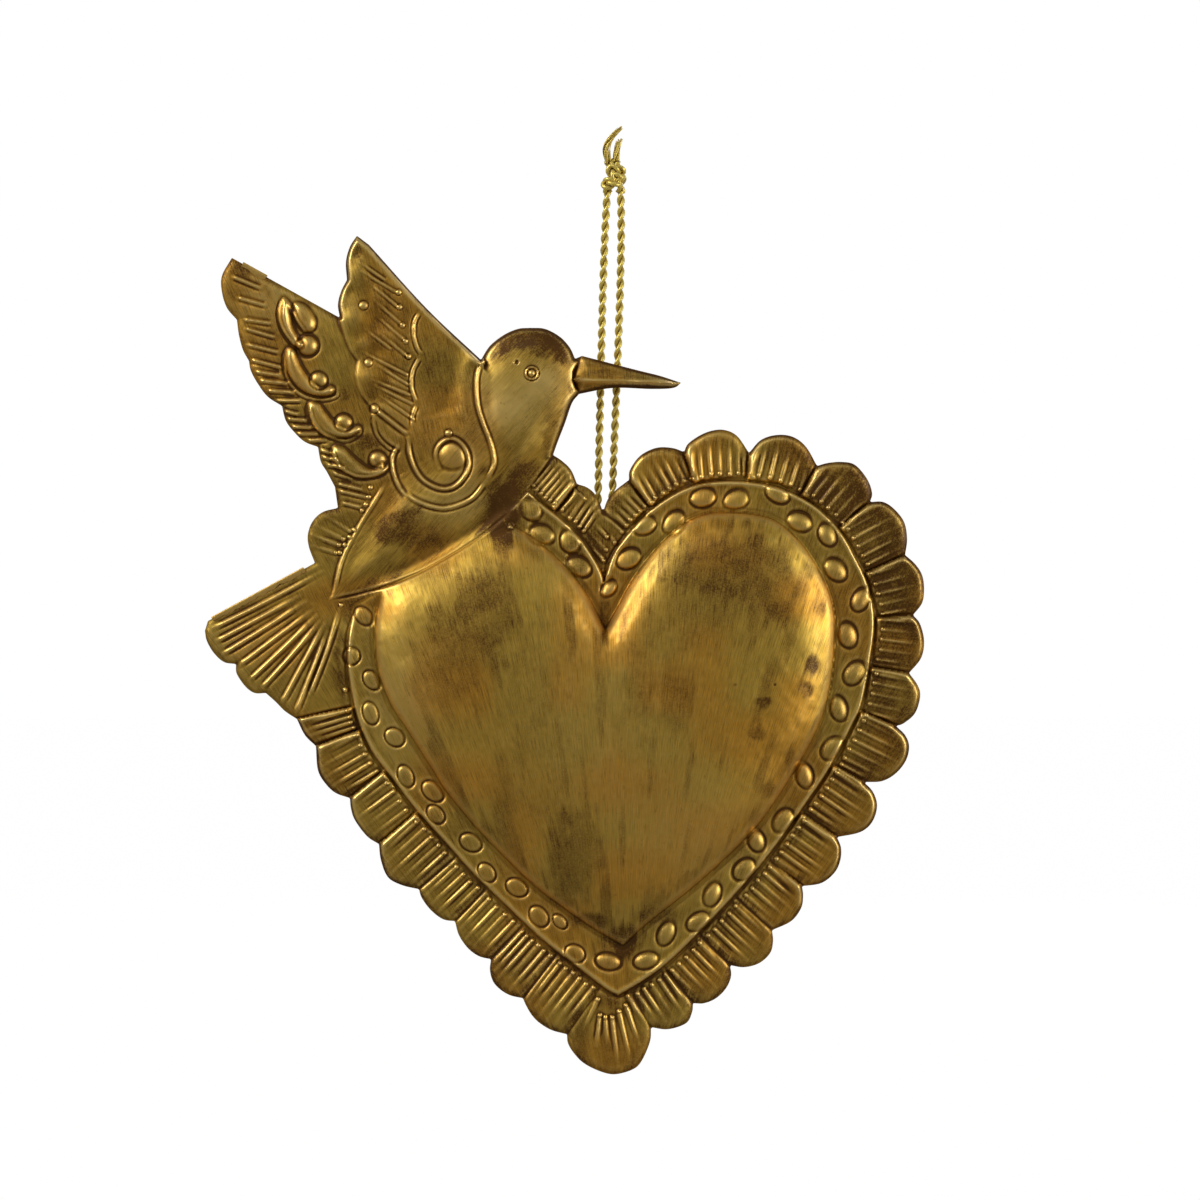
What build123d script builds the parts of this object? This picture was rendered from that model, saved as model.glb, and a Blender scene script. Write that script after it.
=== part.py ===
from build123d import *
import math
import os

# A hollow tin ornament of two embossed sheets, a heart with a hummingbird, on a twisted cord.
# Sizes are in mm. X runs to the right, Z up, and the front faces -Y.
# The origin is the hang point, just under the cord's knot, where a hook bears.

# Whole ornament
ornament_width = 181.5
ornament_height = 211.6
hang_to_left_side = 103.15
hang_to_wing_top = 10.1

# The two sheets and the seam between them
sheet_thickness = 0.4
seam_gap = 0.4

# Embossed forms, each above the flat rim
dome_rise = 11.5
band_rise = 1.5
band_line_rise = 0.6
band_line_width = 1.2
body_rise = 5.0
beak_rise = 2.4
near_wing_rise = 1.3
wing_line_rise = 0.5
wing_line_width = 0.8

# Small chased work
bead_length = 5.2
bead_width = 4.0
bead_rise = 0.7
bead_tilt = 32
flute_width = 0.9
flute_rise = 0.5
flute_end_gap = 1.6
flute_fan = 22.0
feather_flute_length = 6.0
feather_slope = 9
crescent_width = 4.8
crescent_rise = 1.6
swirl_width = 1.1
swirl_rise = 0.5
ball_radius = 2.3
ball_rise = 1.7
small_ball_radius = 1.4
small_ball_rise = 1.1
eye_rim_radius = 1.9
eye_rim_rise = 0.4
eye_ball_radius = 1.0
eye_ball_rise = 0.9

# Solder tacks in the seam, set in from the scallop notches
tack_radius = 1.2
tack_inset = 2.6

# Folded hems of the back sheet, over the front sheet's edge
hem_lip = 1.3
hem_clearance = 0.1

# Wire ring and its solder
ring_radius = 3.0
ring_wire_radius = 0.45
ring_seat_gap = 0.1
solder_height = 4.0
solder_width = 2.2
solder_corner_radius = 0.6

# Cord, knot and frayed ends
cord_radius = 1.0
cord_to_wire_gap = 0.3
leg_bend_radius = 60.0
knot_height = 8.0
knot_radius = 3.1
end_radius = 0.85
end_bend_radius = 3.0
end_tip_bend_radius = 4.0

# Counts
flutes_in_a_scallop = 5
flutes_in_a_feather = 4
tack_every = 3
neck_stations = 14
swirl_stations = 12
facets_of_an_arc = 5
facets_between_places = 2
hollow_keeps_every = 2
sides_of_a_boss = 8
sides_of_a_wire = 6

# Places are read in pixels of a frame that is 1200 wide and 1200 high, y downwards.
left_px = 205
right_px = 924
top_px = 236
bottom_px = 1074

# Levels of the sheet's upper surface, above the seam's middle
rim_level = seam_gap / 2 + sheet_thickness
band_level = rim_level + band_rise
near_wing_level = rim_level + near_wing_rise
sunk = sheet_thickness / 2

# From the seam's middle back to the cord's upright plane, which goes through the ring's middle
seam_to_cord = rim_level + ring_seat_gap + ring_wire_radius + ring_radius


def place(point_px):
    """A place in the front view, as a point on the sheet's own flat plane, Y up."""
    across = (point_px[0] - left_px) / (right_px - left_px)
    down = (point_px[1] - top_px) / (bottom_px - top_px)
    return Vector(
        across * ornament_width - hang_to_left_side,
        -hang_to_wing_top - down * ornament_height,
    )


# The cut outline, clockwise from the cleft. A step is the end of a straight edge,
# or a point that an arc passes through and the arc's end.
cleft_px = (603, 512)
outline_px = [
    # right lobe's scallops, down to the tip
    [(611, 495), (629, 480)],
    [(646, 453), (684, 452)],
    [(713, 431), (749, 453)],
    [(783, 435), (817, 466)],
    [(855, 465), (870, 502)],
    [(898, 514), (905, 555)],
    [(924, 586), (913, 615)],
    [(925, 645), (909, 673)],
    [(918, 706), (896, 726)],
    [(906, 762), (864, 782)],
    [(875, 815), (837, 837)],
    [(837, 872), (802, 886)],
    [(798, 914), (772, 930)],
    [(765, 958), (730, 965)],
    [(722, 993), (693, 1003)],
    [(683, 1026), (651, 1027)],
    [(610, 1074), (567, 1034)],
    # left side's scallops, up to the tail
    [(538, 1021), (524, 998)],
    [(494, 983), (491, 959)],
    [(463, 943), (455, 921)],
    [(431, 911), (419, 889)],
    [(385, 876), (379, 844)],
    [(357, 824), (350, 798)],
    [(322, 779), (316, 746)],
    [(304, 735), (296, 718)],
    # tail fan
    [(281, 709), (266, 693)],
    [(243, 684), (236, 664)],
    [(214, 654), (205, 631)],
    [(208, 621)],
    [(315, 563)],
    # one rim scallop between the tail and the wing
    [(308, 534), (338, 508)],
    # far wing's feathers, up to its tip
    [(335, 487)],
    [(323, 467), (318, 447)],
    [(291, 429), (282, 406)],
    [(259, 388), (249, 361)],
    [(240, 341), (237, 320)],
    [(222, 284), (232, 258)],
    [(340, 318)],
    # near wing, its tip and its straight edge
    [(338, 300), (347, 280)],
    [(346, 257), (357, 236)],
    [(369, 245)],
    [(427, 309)],
    [(481, 360)],
    # head, beak and breast
    [(497, 338), (528, 328)],
    [(557, 336), (575, 359)],
    [(582, 356)],
    [(636, 370)],
    [(681, 383)],
    [(673, 388)],
    [(613, 387)],
    [(579, 394)],
    [(567, 419), (553, 455)],
    # two scallops down to the cleft
    [(568, 468), (577, 484)],
    [(593, 494), cleft_px],
]


def outline_edges():
    """The cut outline's arcs and straight edges, one for each step."""
    edges = []
    start = place(cleft_px)
    for step in outline_px:
        end = place(step[-1])
        if len(step) == 2:
            edges.append(ThreePointArc(start, place(step[0]), end))
        else:
            edges.append(Line(start, end))
        start = end
    return edges


def plate_corners(edges):
    """The outline's corners, each arc divided into short straight edges."""
    corners = []
    for edge in edges:
        count = facets_of_an_arc if edge.geom_type == GeomType.CIRCLE else 1
        corners += [edge @ (number / count) for number in range(count)]
    return corners


# Steps of the outline that other work follows
lobe_scallops = list(range(1, 25)) + [52]
cleft_scallops = [0, 53]
feathers = range(32, 37)
wing_top_step = 37
tail_top_step = 29


# Closed forms. Each is the middle that its height rises to, then runs of points:
# a run is a smooth curve, and two runs meet in a corner.
dome_px = {
    "middle": (604, 722),
    "runs": [
        [(605, 628), (630, 580), (674, 530), (727, 512), (785, 527), (828, 589), (834, 655), (804, 755)]
        + [(735, 849), (623, 946)],
        [(623, 946), (529, 881), (449, 795), (390, 705), (376, 640), (379, 581)],
        [(379, 581), (425, 558), (466, 533), (501, 509)],
        [(501, 509), (545, 542), (582, 582), (605, 628)],
    ],
}
band_px = {
    "middle": (604, 722),
    "runs": [
        [(604, 581), (626, 536), (672, 495), (722, 481), (800, 497), (855, 557), (874, 630), (853, 723)]
        + [(808, 800), (735, 894), (618, 995)],
        [(618, 995), (542, 939), (449, 846), (373, 753), (349, 672), (352, 610)],
        [(352, 610), (390, 560), (455, 515), (528, 491)],
        [(528, 491), (562, 518), (590, 552), (604, 581)],
    ],
}
body_px = {
    "middle": (500, 450),
    "runs": [
        [(482, 362), (470, 402), (440, 440), (386, 482), (357, 530), (330, 600)],
        [(330, 600), (423, 573), (475, 545), (519, 505), (553, 457)],
        [(553, 457), (568, 421), (577, 390), (576, 361)],
        [(576, 361), (556, 339), (526, 331), (498, 341), (482, 362)],
    ],
}
near_wing_px = {
    "middle": (415, 350),
    "runs": [
        [(357, 240), (348, 262), (350, 281)],
        [(350, 281), (341, 302), (345, 336), (358, 361)],
        [(358, 361), (357, 385), (371, 408)],
        [(371, 408), (380, 433), (400, 444), (424, 450)],
        [(424, 450), (460, 425), (478, 404)],
        [(478, 404), (480, 383), (479, 362)],
        [(479, 362), (426, 313), (368, 250)],
        [(368, 250), (362, 245), (357, 240)],
    ],
}

# How far in a pillow's surface is, as a share of its outline, with its height as a share of the rise
puff_shares = [(1.0, 0.0), (0.975, 0.22), (0.92, 0.46), (0.83, 0.67), (0.66, 0.86), (0.42, 0.96), (0.16, 1.0)]

# The beak's folded flanks, from the head to the tip: top edge, fold, under edge
beak_px = [
    [(570, 362), (566, 377), (571, 393)],
    [(582, 356), (579, 377), (579, 394)],
    [(636, 370), (632, 380), (622, 388)],
]
beak_fold_shares = [1.0, 1.0, 0.7]
beak_tip_px = (680, 383)

# Four crescents of the far wing, and the balls that they curl round
crescents_px = [
    [(285, 297), (281, 324), (298, 346)],
    [(286, 355), (296, 386), (337, 392)],
    [(310, 401), (324, 433), (362, 430)],
    [(332, 447), (349, 472), (388, 468)],
]
crescent_shares = [(0, 0), (0.15, 0.5), (0.4, 0.95), (0.65, 1.0), (0.88, 0.6), (1, 0)]
balls_px = [(308, 346), (343, 424), (373, 461)]
small_balls_px = [(319, 382), (332, 389)]
ball_shares = [(1.0, 0.0), (0.72, 0.7), (0.3, 1.0)]

# The neck line that turns into the outer swirl, the inner swirl with its ball, and the eye
neck_px = [
    (481, 368),
    (477, 404),
    (489, 440),
    (493, 466),
    (471, 499),
    (433, 507),
    (402, 488),
    (393, 462),
    (399, 447),
]
swirl_px = [
    (409, 441),
    (416, 470),
    (442, 488),
    (466, 472),
    (464, 445),
    (441, 444),
    (437, 464),
]
swirl_ball_px = (453, 455)
eye_px = (532, 374)

# Long feather lines of the near wing, and the tail's fan of lines
near_wing_lines_px = [
    [(374, 270), (398, 292)],
    [(370, 283), (400, 308)],
    [(364, 292), (404, 326)],
    [(368, 311), (406, 342)],
    [(372, 329), (410, 358)],
    [(364, 340), (405, 374)],
    [(368, 362), (402, 391)],
    [(366, 382), (408, 418)],
    [(374, 409), (420, 444)],
]
tail_lines_px = [
    [(216, 633), (322, 572)],
    [(222, 643), (300, 598)],
    [(229, 651), (318, 588)],
    [(243, 657), (312, 602)],
    [(246, 672), (320, 600)],
    [(261, 679), (325, 604)],
    [(274, 688), (328, 609)],
    [(289, 697), (334, 611)],
    [(309, 694), (341, 607)],
]

# Beads of the band, alternately nearer the dome and nearer the rim
beads_px = [
    (609, 589), (627, 559), (644, 526), (673, 519), (703, 498), (736, 500), (776, 494), (799, 522),
    (827, 535), (837, 570), (860, 600), (849, 635), (853, 673), (840, 708), (832, 749), (806, 777),
    (783, 820), (758, 840), (744, 869), (714, 894), (698, 921), (668, 933), (646, 959), (608, 963),
    (575, 953), (560, 923), (539, 916), (515, 889), (487, 872), (469, 844), (436, 814), (430, 793),
    (406, 776), (391, 738), (371, 713), (370, 680), (362, 650), (366, 618), (531, 510), (542, 535),
    (570, 542), (581, 565),
]
bead_shares = [(1.0, 0.0), (0.6, 1.0)]

# Where a flute's crest is, as a share of its length, and how its scallop is shared out
flute_crest_share = 0.4
flute_middle_share = 0.5

# Runs of notches with a solder tack, and the place that the tacks are set in towards
tack_runs = [(0, 24, (604, 722)), (25, 26, (330, 600)), (32, 35, (370, 380)), (52, 52, (604, 722))]
wing_hem_shares = (0.1, 0.32)
tail_hem_shares = (0.04, 0.9)

# The ring's middle, the cord's legs from the knot down, the knot, and the frayed ends
ring_px = (604.5, 522)
left_leg_px = [(607.5, 190.2), (604, 234)]
right_leg_px = [(620.5, 190.2), (623, 225)]
knot_foot_px = (614, 191)
knot_shares = [(0.86, 0), (0.98, 0.12), (1.0, 0.28), (0.84, 0.46), (0.96, 0.66), (0.94, 0.85), (0.75, 1)]
long_end_px = [(608.4, 160.2), (604.5, 148), (611, 135), (623, 124)]
short_end_px = [(616.2, 160.2), (617, 148), (620, 137)]

# The cord's turn under the wire is two corners, each a little tighter than half its width
turn_corner_share = 0.97


def form_corners(form):
    """The corners of a form's outline, each smooth run divided into short straight edges."""
    corners = []
    for run in form["runs"]:
        curve = Spline(*[place(p) for p in run])
        count = facets_between_places * (len(run) - 1)
        corners += [curve @ (number / count) for number in range(count)]
    return corners


def drawn_in(form, share, height):
    """The corners of a form's outline, drawn in towards its middle and lifted."""
    middle = place(form["middle"])
    lift = Vector(0, 0, height)
    return [middle + (corner - middle) * share + lift for corner in form_corners(form)]


def reach(form):
    """The distance from a form's middle to the nearest corner of its outline."""
    middle = place(form["middle"])
    return min((corner - middle).length for corner in form_corners(form))


def stacked(sections):
    """A solid of flat faces over like polygons, each one above the last."""
    faces = [Face(Wire.make_polygon(sections[0])), Face(Wire.make_polygon(sections[-1]))]
    for before, after in zip(sections, sections[1:]):
        for number in range(len(before)):
            side = [before[number - 1], before[number], after[number], after[number - 1]]
            faces.append(Face(Wire.make_polygon(side)))
    return Solid(Shell(faces))


def puffed(form, rise):
    """A pillow over a form's outline, standing on the rim's level."""
    return stacked([drawn_in(form, across, rim_level + rise * up) for across, up in puff_shares])


def puffed_hollow(form, rise):
    """The hollow inside a pillow, a sheet's thickness in, open below."""
    inward = 1 - sheet_thickness / reach(form)
    inside = rise - sheet_thickness
    sections = [drawn_in(form, inward, 0)]
    for across, up in puff_shares:
        sections.append(drawn_in(form, across * inward, rim_level + inside * up))
    return stacked([section[::hollow_keeps_every] for section in sections])


def raised(form, rise, line_rise, line_width):
    """A low flat field whose edge is drawn up into a line."""
    half_line = line_width / 2 / reach(form)
    return stacked(
        [
            drawn_in(form, 1, rim_level),
            drawn_in(form, 1 - half_line, rim_level + rise + line_rise),
            drawn_in(form, 1 - 2 * half_line, rim_level + rise),
        ]
    )


def raised_hollow(form, rise, line_width):
    """The hollow under a low flat field, open below."""
    inward = 1 - (line_width + sheet_thickness) / reach(form)
    return stacked([drawn_in(form, inward, 0), drawn_in(form, inward, rim_level + rise - sheet_thickness)])


def body_level(spot):
    """The level of the bird's body at a place on it."""
    middle = place(body_px["middle"])
    ray = spot - middle
    corners = [corner - middle for corner in form_corners(body_px)]
    share = 0
    for before, after in zip(corners, corners[1:] + corners[:1]):
        side = ray.X * before.Y - ray.Y * before.X
        other_side = ray.X * after.Y - ray.Y * after.X
        if side * other_side <= 0 and side != other_side:
            crossing = before + (after - before) * (side / (side - other_side))
            if crossing.dot(ray) > 0:
                share = ray.length / crossing.length
    for (outer, low), (inner, high) in zip(puff_shares, puff_shares[1:]):
        if inner <= share <= outer:
            up = high + (low - high) * (share - inner) / (outer - inner)
            return rim_level + body_rise * up
    return rim_level + (body_rise if share < 1 else 0)


def skinned(sections):
    """A solid of flat faces over triangles of three points; a section of one point ends it."""
    faces = []
    for before, after in zip(sections, sections[1:]):
        for number in range(3):
            if len(before) == 1:
                trios = [(before[0], after[number], after[number - 1])]
            elif len(after) == 1:
                trios = [(before[number - 1], before[number], after[0])]
            else:
                trios = [
                    (before[number - 1], before[number], after[number]),
                    (before[number - 1], after[number], after[number - 1]),
                ]
            faces += [Face(Wire.make_polygon(trio)) for trio in trios]
    for section in (sections[0], sections[-1]):
        if len(section) == 3:
            faces.append(Face(Wire.make_polygon(section)))
    return Solid(Shell(faces))


def ridge(stations):
    """A ridge of three-cornered section. Each station is a place, its level, the direction
    along the ridge, a width and a rise. A width of 0 ends it in a point."""
    sections = []
    for spot, level, along, width, rise in stations:
        foot = spot + Vector(0, 0, level - sunk)
        if width == 0:
            sections.append([foot])
            continue
        side = Vector(-along.Y, along.X).normalized() * (width / 2)
        sections.append([foot - side, foot + side, spot + Vector(0, 0, level + rise)])
    return skinned(sections)


def flute(start, end, level):
    """A short straight tool mark, highest a little in from its start."""
    along = end - start
    crest = start + along * flute_crest_share
    return ridge(
        [
            (start, level, along, 0, 0),
            (crest, level, along, flute_width, flute_rise),
            (end, level, along, 0, 0),
        ]
    )


def chased_line(path_px, station_count):
    """A raised line of even width along a smooth path over the bird's body."""
    path = Spline(*[place(p) for p in path_px])
    stations = []
    for number in range(station_count + 1):
        share = number / station_count
        spot = path.position_at(share)
        width = 0 if number in (0, station_count) else swirl_width
        stations.append((spot, body_level(spot), path.tangent_at(share), width, swirl_rise))
    return ridge(stations)


def crescent(points_px):
    path = ThreePointArc(*[place(p) for p in points_px])
    stations = []
    for share, full_share in crescent_shares:
        width = crescent_width * full_share
        rise = crescent_rise * full_share
        stations.append((path.position_at(share), rim_level, path.tangent_at(share), width, rise))
    return ridge(stations)


def boss(spot, level, length, width, rise, turn, shares):
    """A low oval boss of flat faces, its sides stepping in by the shares."""
    sections = []
    for out, up in shares:
        low = level - sunk if up == 0 else level + rise * up
        oval = []
        for number in range(sides_of_a_boss):
            angle = math.tau * number / sides_of_a_boss
            corner = Vector(length / 2 * out * math.cos(angle), width / 2 * out * math.sin(angle))
            oval.append(corner.rotate(Axis.Z, turn) + Vector(spot.X, spot.Y, low))
        sections.append(oval)
    return stacked(sections)


def ball(spot_px, level, radius, rise):
    return boss(place(spot_px), level, 2 * radius, 2 * radius, rise, 0, ball_shares)


def beads():
    middle = place(band_px["middle"])
    made = []
    for number, spot_px in enumerate(beads_px):
        spot = place(spot_px)
        out = spot - middle
        tilt = bead_tilt if number % 2 else -bead_tilt
        turn = math.degrees(math.atan2(out.X, -out.Y)) + tilt
        made.append(boss(spot, band_level, bead_length, bead_width, bead_rise, turn, bead_shares))
    return made


def scallop_flutes(edge, band_edge):
    """The flutes of one rim scallop: they fan in from its arc to just short of the band."""
    chord = edge @ 1 - edge @ 0
    focus = edge @ flute_middle_share + Vector(chord.Y, -chord.X).normalized() * flute_fan
    made = []
    for number in range(flutes_in_a_scallop):
        outer = edge @ ((number + flute_middle_share) / flutes_in_a_scallop)
        inward = (focus - outer).normalized()
        outer = outer + inward * flute_end_gap
        room = band_edge.distance_to(Vertex(*outer)) - flute_end_gap
        length = min(room, chord.length / 2)
        if length > 2 * flute_width:
            made.append(flute(outer, outer + inward * length, rim_level))
    return made


def feather_flutes(edge, straight_edge):
    """Short flutes across a feather's edge, clear of the hem on the straight edge."""
    slope = math.radians(feather_slope)
    inward = Vector(math.cos(slope), -math.sin(slope))
    made = []
    for number in range(flutes_in_a_feather):
        outer = edge @ ((number + flute_middle_share) / flutes_in_a_feather) + inward * flute_end_gap
        inner = outer + inward * feather_flute_length
        if straight_edge.distance_to(Line(outer, inner)) > hem_lip + flute_width:
            made.append(flute(outer, inner, rim_level))
    return made


def beak():
    foot = Vector(0, 0, seam_gap / 2)
    sections = []
    for (top, fold, under), share in zip(beak_px, beak_fold_shares):
        crest = place(fold) + foot + Vector(0, 0, beak_rise * share)
        sections.append([place(top) + foot, place(under) + foot, crest])
    sections.append([place(beak_tip_px) + Vector(0, 0, rim_level)])
    return skinned(sections)


def embossed_sheet(edges, flute_steps, with_beads):
    """One sheet, lying flat with its face up, worked up from behind."""
    flat = Face(Wire.make_polygon(plate_corners(edges)))
    plate = extrude(Pos(0, 0, seam_gap / 2) * flat, sheet_thickness, dir=(0, 0, 1))
    skin = plate.fuse(
        raised(band_px, band_rise, band_line_rise, band_line_width),
        puffed(dome_px, dome_rise),
        puffed(body_px, body_rise),
        raised(near_wing_px, near_wing_rise, wing_line_rise, wing_line_width),
        beak(),
    )
    sheet = skin.cut(
        raised_hollow(band_px, band_rise, band_line_width),
        puffed_hollow(dome_px, dome_rise),
        puffed_hollow(body_px, body_rise),
        raised_hollow(near_wing_px, near_wing_rise, wing_line_width),
    )
    details = beads() if with_beads else []
    band_edge = Wire.make_polygon(drawn_in(band_px, 1, 0))
    for step in flute_steps:
        details += scallop_flutes(edges[step], band_edge)
    for step in feathers:
        details += feather_flutes(edges[step], edges[wing_top_step])
    for start, end in tail_lines_px:
        details.append(flute(place(start), place(end), rim_level))
    for start, end in near_wing_lines_px:
        details.append(flute(place(start), place(end), near_wing_level))
    details += [crescent(points) for points in crescents_px]
    details += [ball(spot, rim_level, ball_radius, ball_rise) for spot in balls_px]
    details += [ball(spot, rim_level, small_ball_radius, small_ball_rise) for spot in small_balls_px]
    details += [chased_line(neck_px, neck_stations), chased_line(swirl_px, swirl_stations)]
    details.append(ball(swirl_ball_px, body_level(place(swirl_ball_px)), ball_radius, small_ball_rise))
    eye_level = body_level(place(eye_px))
    details.append(ball(eye_px, eye_level, eye_rim_radius, eye_rim_rise))
    details.append(ball(eye_px, eye_level, eye_ball_radius, eye_ball_rise))
    return sheet.fuse(*details)


def hem(start, end):
    """One folded hem: the back sheet's edge goes round the front sheet's straight edge."""
    along = (end - start).normalized()
    outward = Vector(-along.Y, along.X)
    inner = rim_level + hem_clearance
    section = Polygon(
        (-hem_lip, inner),
        (hem_clearance, inner),
        (hem_clearance, -seam_gap / 2),
        (-hem_lip, -seam_gap / 2),
        (-hem_lip, -rim_level),
        (hem_clearance + sheet_thickness, -rim_level),
        (hem_clearance + sheet_thickness, inner + sheet_thickness),
        (-hem_lip, inner + sheet_thickness),
        align=None,
    )
    plane = Plane(origin=start, x_dir=outward, z_dir=along)
    return extrude(plane * section, (end - start).length, dir=along)


def seam_tacks(edges):
    tacks = []
    for first, last, towards_px in tack_runs:
        for step in range(first, last + 1, tack_every):
            notch = edges[step] @ 1
            spot = notch + (place(towards_px) - notch).normalized() * tack_inset
            tack = RegularPolygon(tack_radius, sides_of_a_boss)
            tacks.append(Pos(spot.X, spot.Y) * extrude(tack, seam_gap / 2, both=True))
    return Compound(children=tacks)


def standing(shape):
    """From the sheets' flat plane to the upright ornament, its face forward of the cord."""
    return Pos(0, -seam_to_cord, 0) * Rot(90, 0, 0) * shape


def upright(point_px):
    """A place as (across, up) in the cord's upright plane."""
    spot = place(point_px)
    return (spot.X, spot.Y)


def cord(points, radii, radius):
    """A round cord along straight runs joined by arcs, one radius for each corner."""
    route = Plane.XZ * FilletPolyline(*points, radius=radii)
    section = Plane(origin=route @ 0, z_dir=route % 0) * Circle(radius)
    arcs = [round(edge.radius, 2) for edge in route.edges() if edge.geom_type == GeomType.CIRCLE]
    made = sweep(section, path=route)
    print("cord length", round(route.length, 2), "bend radii", arcs)
    print("cord volume", round(made.volume, 2), "section x length", round(section.area * route.length, 2))
    return made


edges = outline_edges()
front = embossed_sheet(edges, lobe_scallops + cleft_scallops, True)
back = mirror(embossed_sheet(edges, lobe_scallops, False), Plane.XY)
for step, hem_shares in ((wing_top_step, wing_hem_shares), (tail_top_step, tail_hem_shares)):
    back = back.fuse(hem(edges[step] @ hem_shares[0], edges[step] @ hem_shares[1]))
front_sheet = standing(front)
back_sheet = standing(back)
seam_solder = standing(seam_tacks(edges))

ring_x, ring_z = upright(ring_px)
wire_section = Pos(ring_radius, 0, 0) * (Plane.XZ * RegularPolygon(ring_wire_radius, sides_of_a_wire))
hanging_ring = Pos(ring_x, 0, ring_z) * Rot(0, 90, 0) * revolve(wire_section, Axis.Z)
pad_depth = ring_seat_gap + ring_wire_radius
pad = Box(solder_width, pad_depth, solder_height)
pad = fillet(pad.edges().filter_by(Axis.Y), solder_corner_radius)
ring_solder = Pos(ring_x, rim_level + pad_depth / 2 - seam_to_cord, ring_z) * pad - hanging_ring

turn_radius = cord_radius + ring_wire_radius + cord_to_wire_gap
turn_low = ring_z + ring_radius - turn_radius
loop_points = [upright(p) for p in left_leg_px]
loop_points += [(ring_x - turn_radius, turn_low), (ring_x + turn_radius, turn_low)]
loop_points += [upright(p) for p in reversed(right_leg_px)]
turn_corner_radius = turn_corner_share * turn_radius
loop_radii = [leg_bend_radius, turn_corner_radius, turn_corner_radius, leg_bend_radius]
cord_loop = cord(loop_points, loop_radii, cord_radius)

knot_x, knot_foot = upright(knot_foot_px)
knot_points = [(knot_radius * out, knot_height * up) for out, up in knot_shares]
knot_profile = Polyline((0, 0), *knot_points, (0, knot_height), close=True)
knot = Pos(knot_x, 0, knot_foot) * revolve(Plane.XZ * make_face(knot_profile), Axis.Z)
cord_end_long = cord([upright(p) for p in long_end_px], [end_bend_radius, end_tip_bend_radius], end_radius)
cord_end_short = cord([upright(p) for p in short_end_px], [end_bend_radius], end_radius)
cord_knot = knot - cord_loop - cord_end_long - cord_end_short

nodes = {
    "front_sheet": front_sheet,
    "back_sheet": back_sheet,
    "seam_solder": seam_solder,
    "hanging_ring": hanging_ring,
    "ring_solder": ring_solder,
    "cord_loop": cord_loop,
    "cord_knot": cord_knot,
    "cord_end_long": cord_end_long,
    "cord_end_short": cord_end_short,
}
os.makedirs("parts", exist_ok=True)
for node, shape in nodes.items():
    export_step(shape, f"parts/{node}.step")
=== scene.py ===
import math
import random

import bpy
import numpy as np
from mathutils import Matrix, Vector
from mathutils.geometry import delaunay_2d_cdt


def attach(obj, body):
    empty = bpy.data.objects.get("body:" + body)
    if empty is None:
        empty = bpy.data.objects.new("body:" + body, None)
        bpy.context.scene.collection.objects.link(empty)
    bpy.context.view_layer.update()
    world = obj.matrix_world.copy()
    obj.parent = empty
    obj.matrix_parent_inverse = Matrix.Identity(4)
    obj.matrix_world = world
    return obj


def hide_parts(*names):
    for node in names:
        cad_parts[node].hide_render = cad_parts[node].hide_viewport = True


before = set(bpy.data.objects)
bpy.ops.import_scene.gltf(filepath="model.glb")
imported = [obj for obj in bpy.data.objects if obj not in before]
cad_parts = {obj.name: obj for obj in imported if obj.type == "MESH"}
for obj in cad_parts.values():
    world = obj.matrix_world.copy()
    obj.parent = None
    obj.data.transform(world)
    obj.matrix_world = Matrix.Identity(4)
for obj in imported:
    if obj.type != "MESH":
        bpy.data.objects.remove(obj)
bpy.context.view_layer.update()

# Places are read on a 1200 by 1200 view, y downwards, as in the part's source
ornament = {
    "left": 205,
    "right": 924,
    "top": 236,
    "bottom": 1074,
    "width": 0.1815,
    "height": 0.2116,
    "hangToLeft": 0.10315,
    "hangToTop": 0.0101,
    "seamY": -0.00415,  # the seam's middle, in front of the cord
    "rimLevel": 0.6,  # mm above the seam's middle
    "sheet": 0.4,
    "heartX": 604,  # the heart's middle line
}
mm = 0.001


def toX(px):
    share = (px - ornament["left"]) / (ornament["right"] - ornament["left"])
    return share * ornament["width"] - ornament["hangToLeft"]


def toZ(py):
    share = (py - ornament["top"]) / (ornament["bottom"] - ornament["top"])
    return -ornament["hangToTop"] - share * ornament["height"]


def newObject(name, data, body):
    made = bpy.data.objects.new(name, data)
    bpy.context.scene.collection.objects.link(made)
    if body:
        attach(made, body)
    return made


def buildMesh(name, points, faces, marks, material, sharpAngle=None):
    # marks are values at the points that the finishes read
    mesh = bpy.data.meshes.new(name)
    mesh.from_pydata(points, [], faces)
    for mark, values in marks.items():
        layer = mesh.attributes.new(mark, "FLOAT", "POINT")
        layer.data.foreach_set("value", np.array(values, np.float32))
    mesh.polygons.foreach_set("use_smooth", [True] * len(faces))
    mesh.update()
    if sharpAngle:
        mesh.set_sharp_from_angle(angle=math.radians(sharpAngle))
    mesh.materials.append(material)
    return mesh


def tubeFaces(first, rings, size):
    # the skin over rings of points, and a cap at each end
    faces = []
    for k in range(rings - 1):
        for j in range(size):
            a, b = first + k * size + j, first + k * size + (j + 1) % size
            faces.append((a, b, b + size, a + size))
    last = first + (rings - 1) * size
    faces.append(tuple(range(first, first + size))[::-1])
    faces.append(tuple(range(last, last + size)))
    return faces


# Helpers for node trees: a plain value goes on the socket itself, an output is linked to it
def feed(tree, socket, value):
    if isinstance(value, (int, float, tuple)):
        socket.default_value = value
    else:
        tree.links.new(value, socket)


def feedAll(tree, node, values):
    for key, value in values.items():
        feed(tree, node.inputs[key], value)


def addNode(tree, kind, inputs=None, **settings):
    node = tree.nodes.new("ShaderNode" + kind)
    for key, value in settings.items():
        setattr(node, key, value)
    feedAll(tree, node, inputs or {})
    return node


def mathNode(tree, operation, a, b, clamp=False):
    return addNode(tree, "Math", {0: a, 1: b}, operation=operation, use_clamp=clamp).outputs[0]


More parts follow.
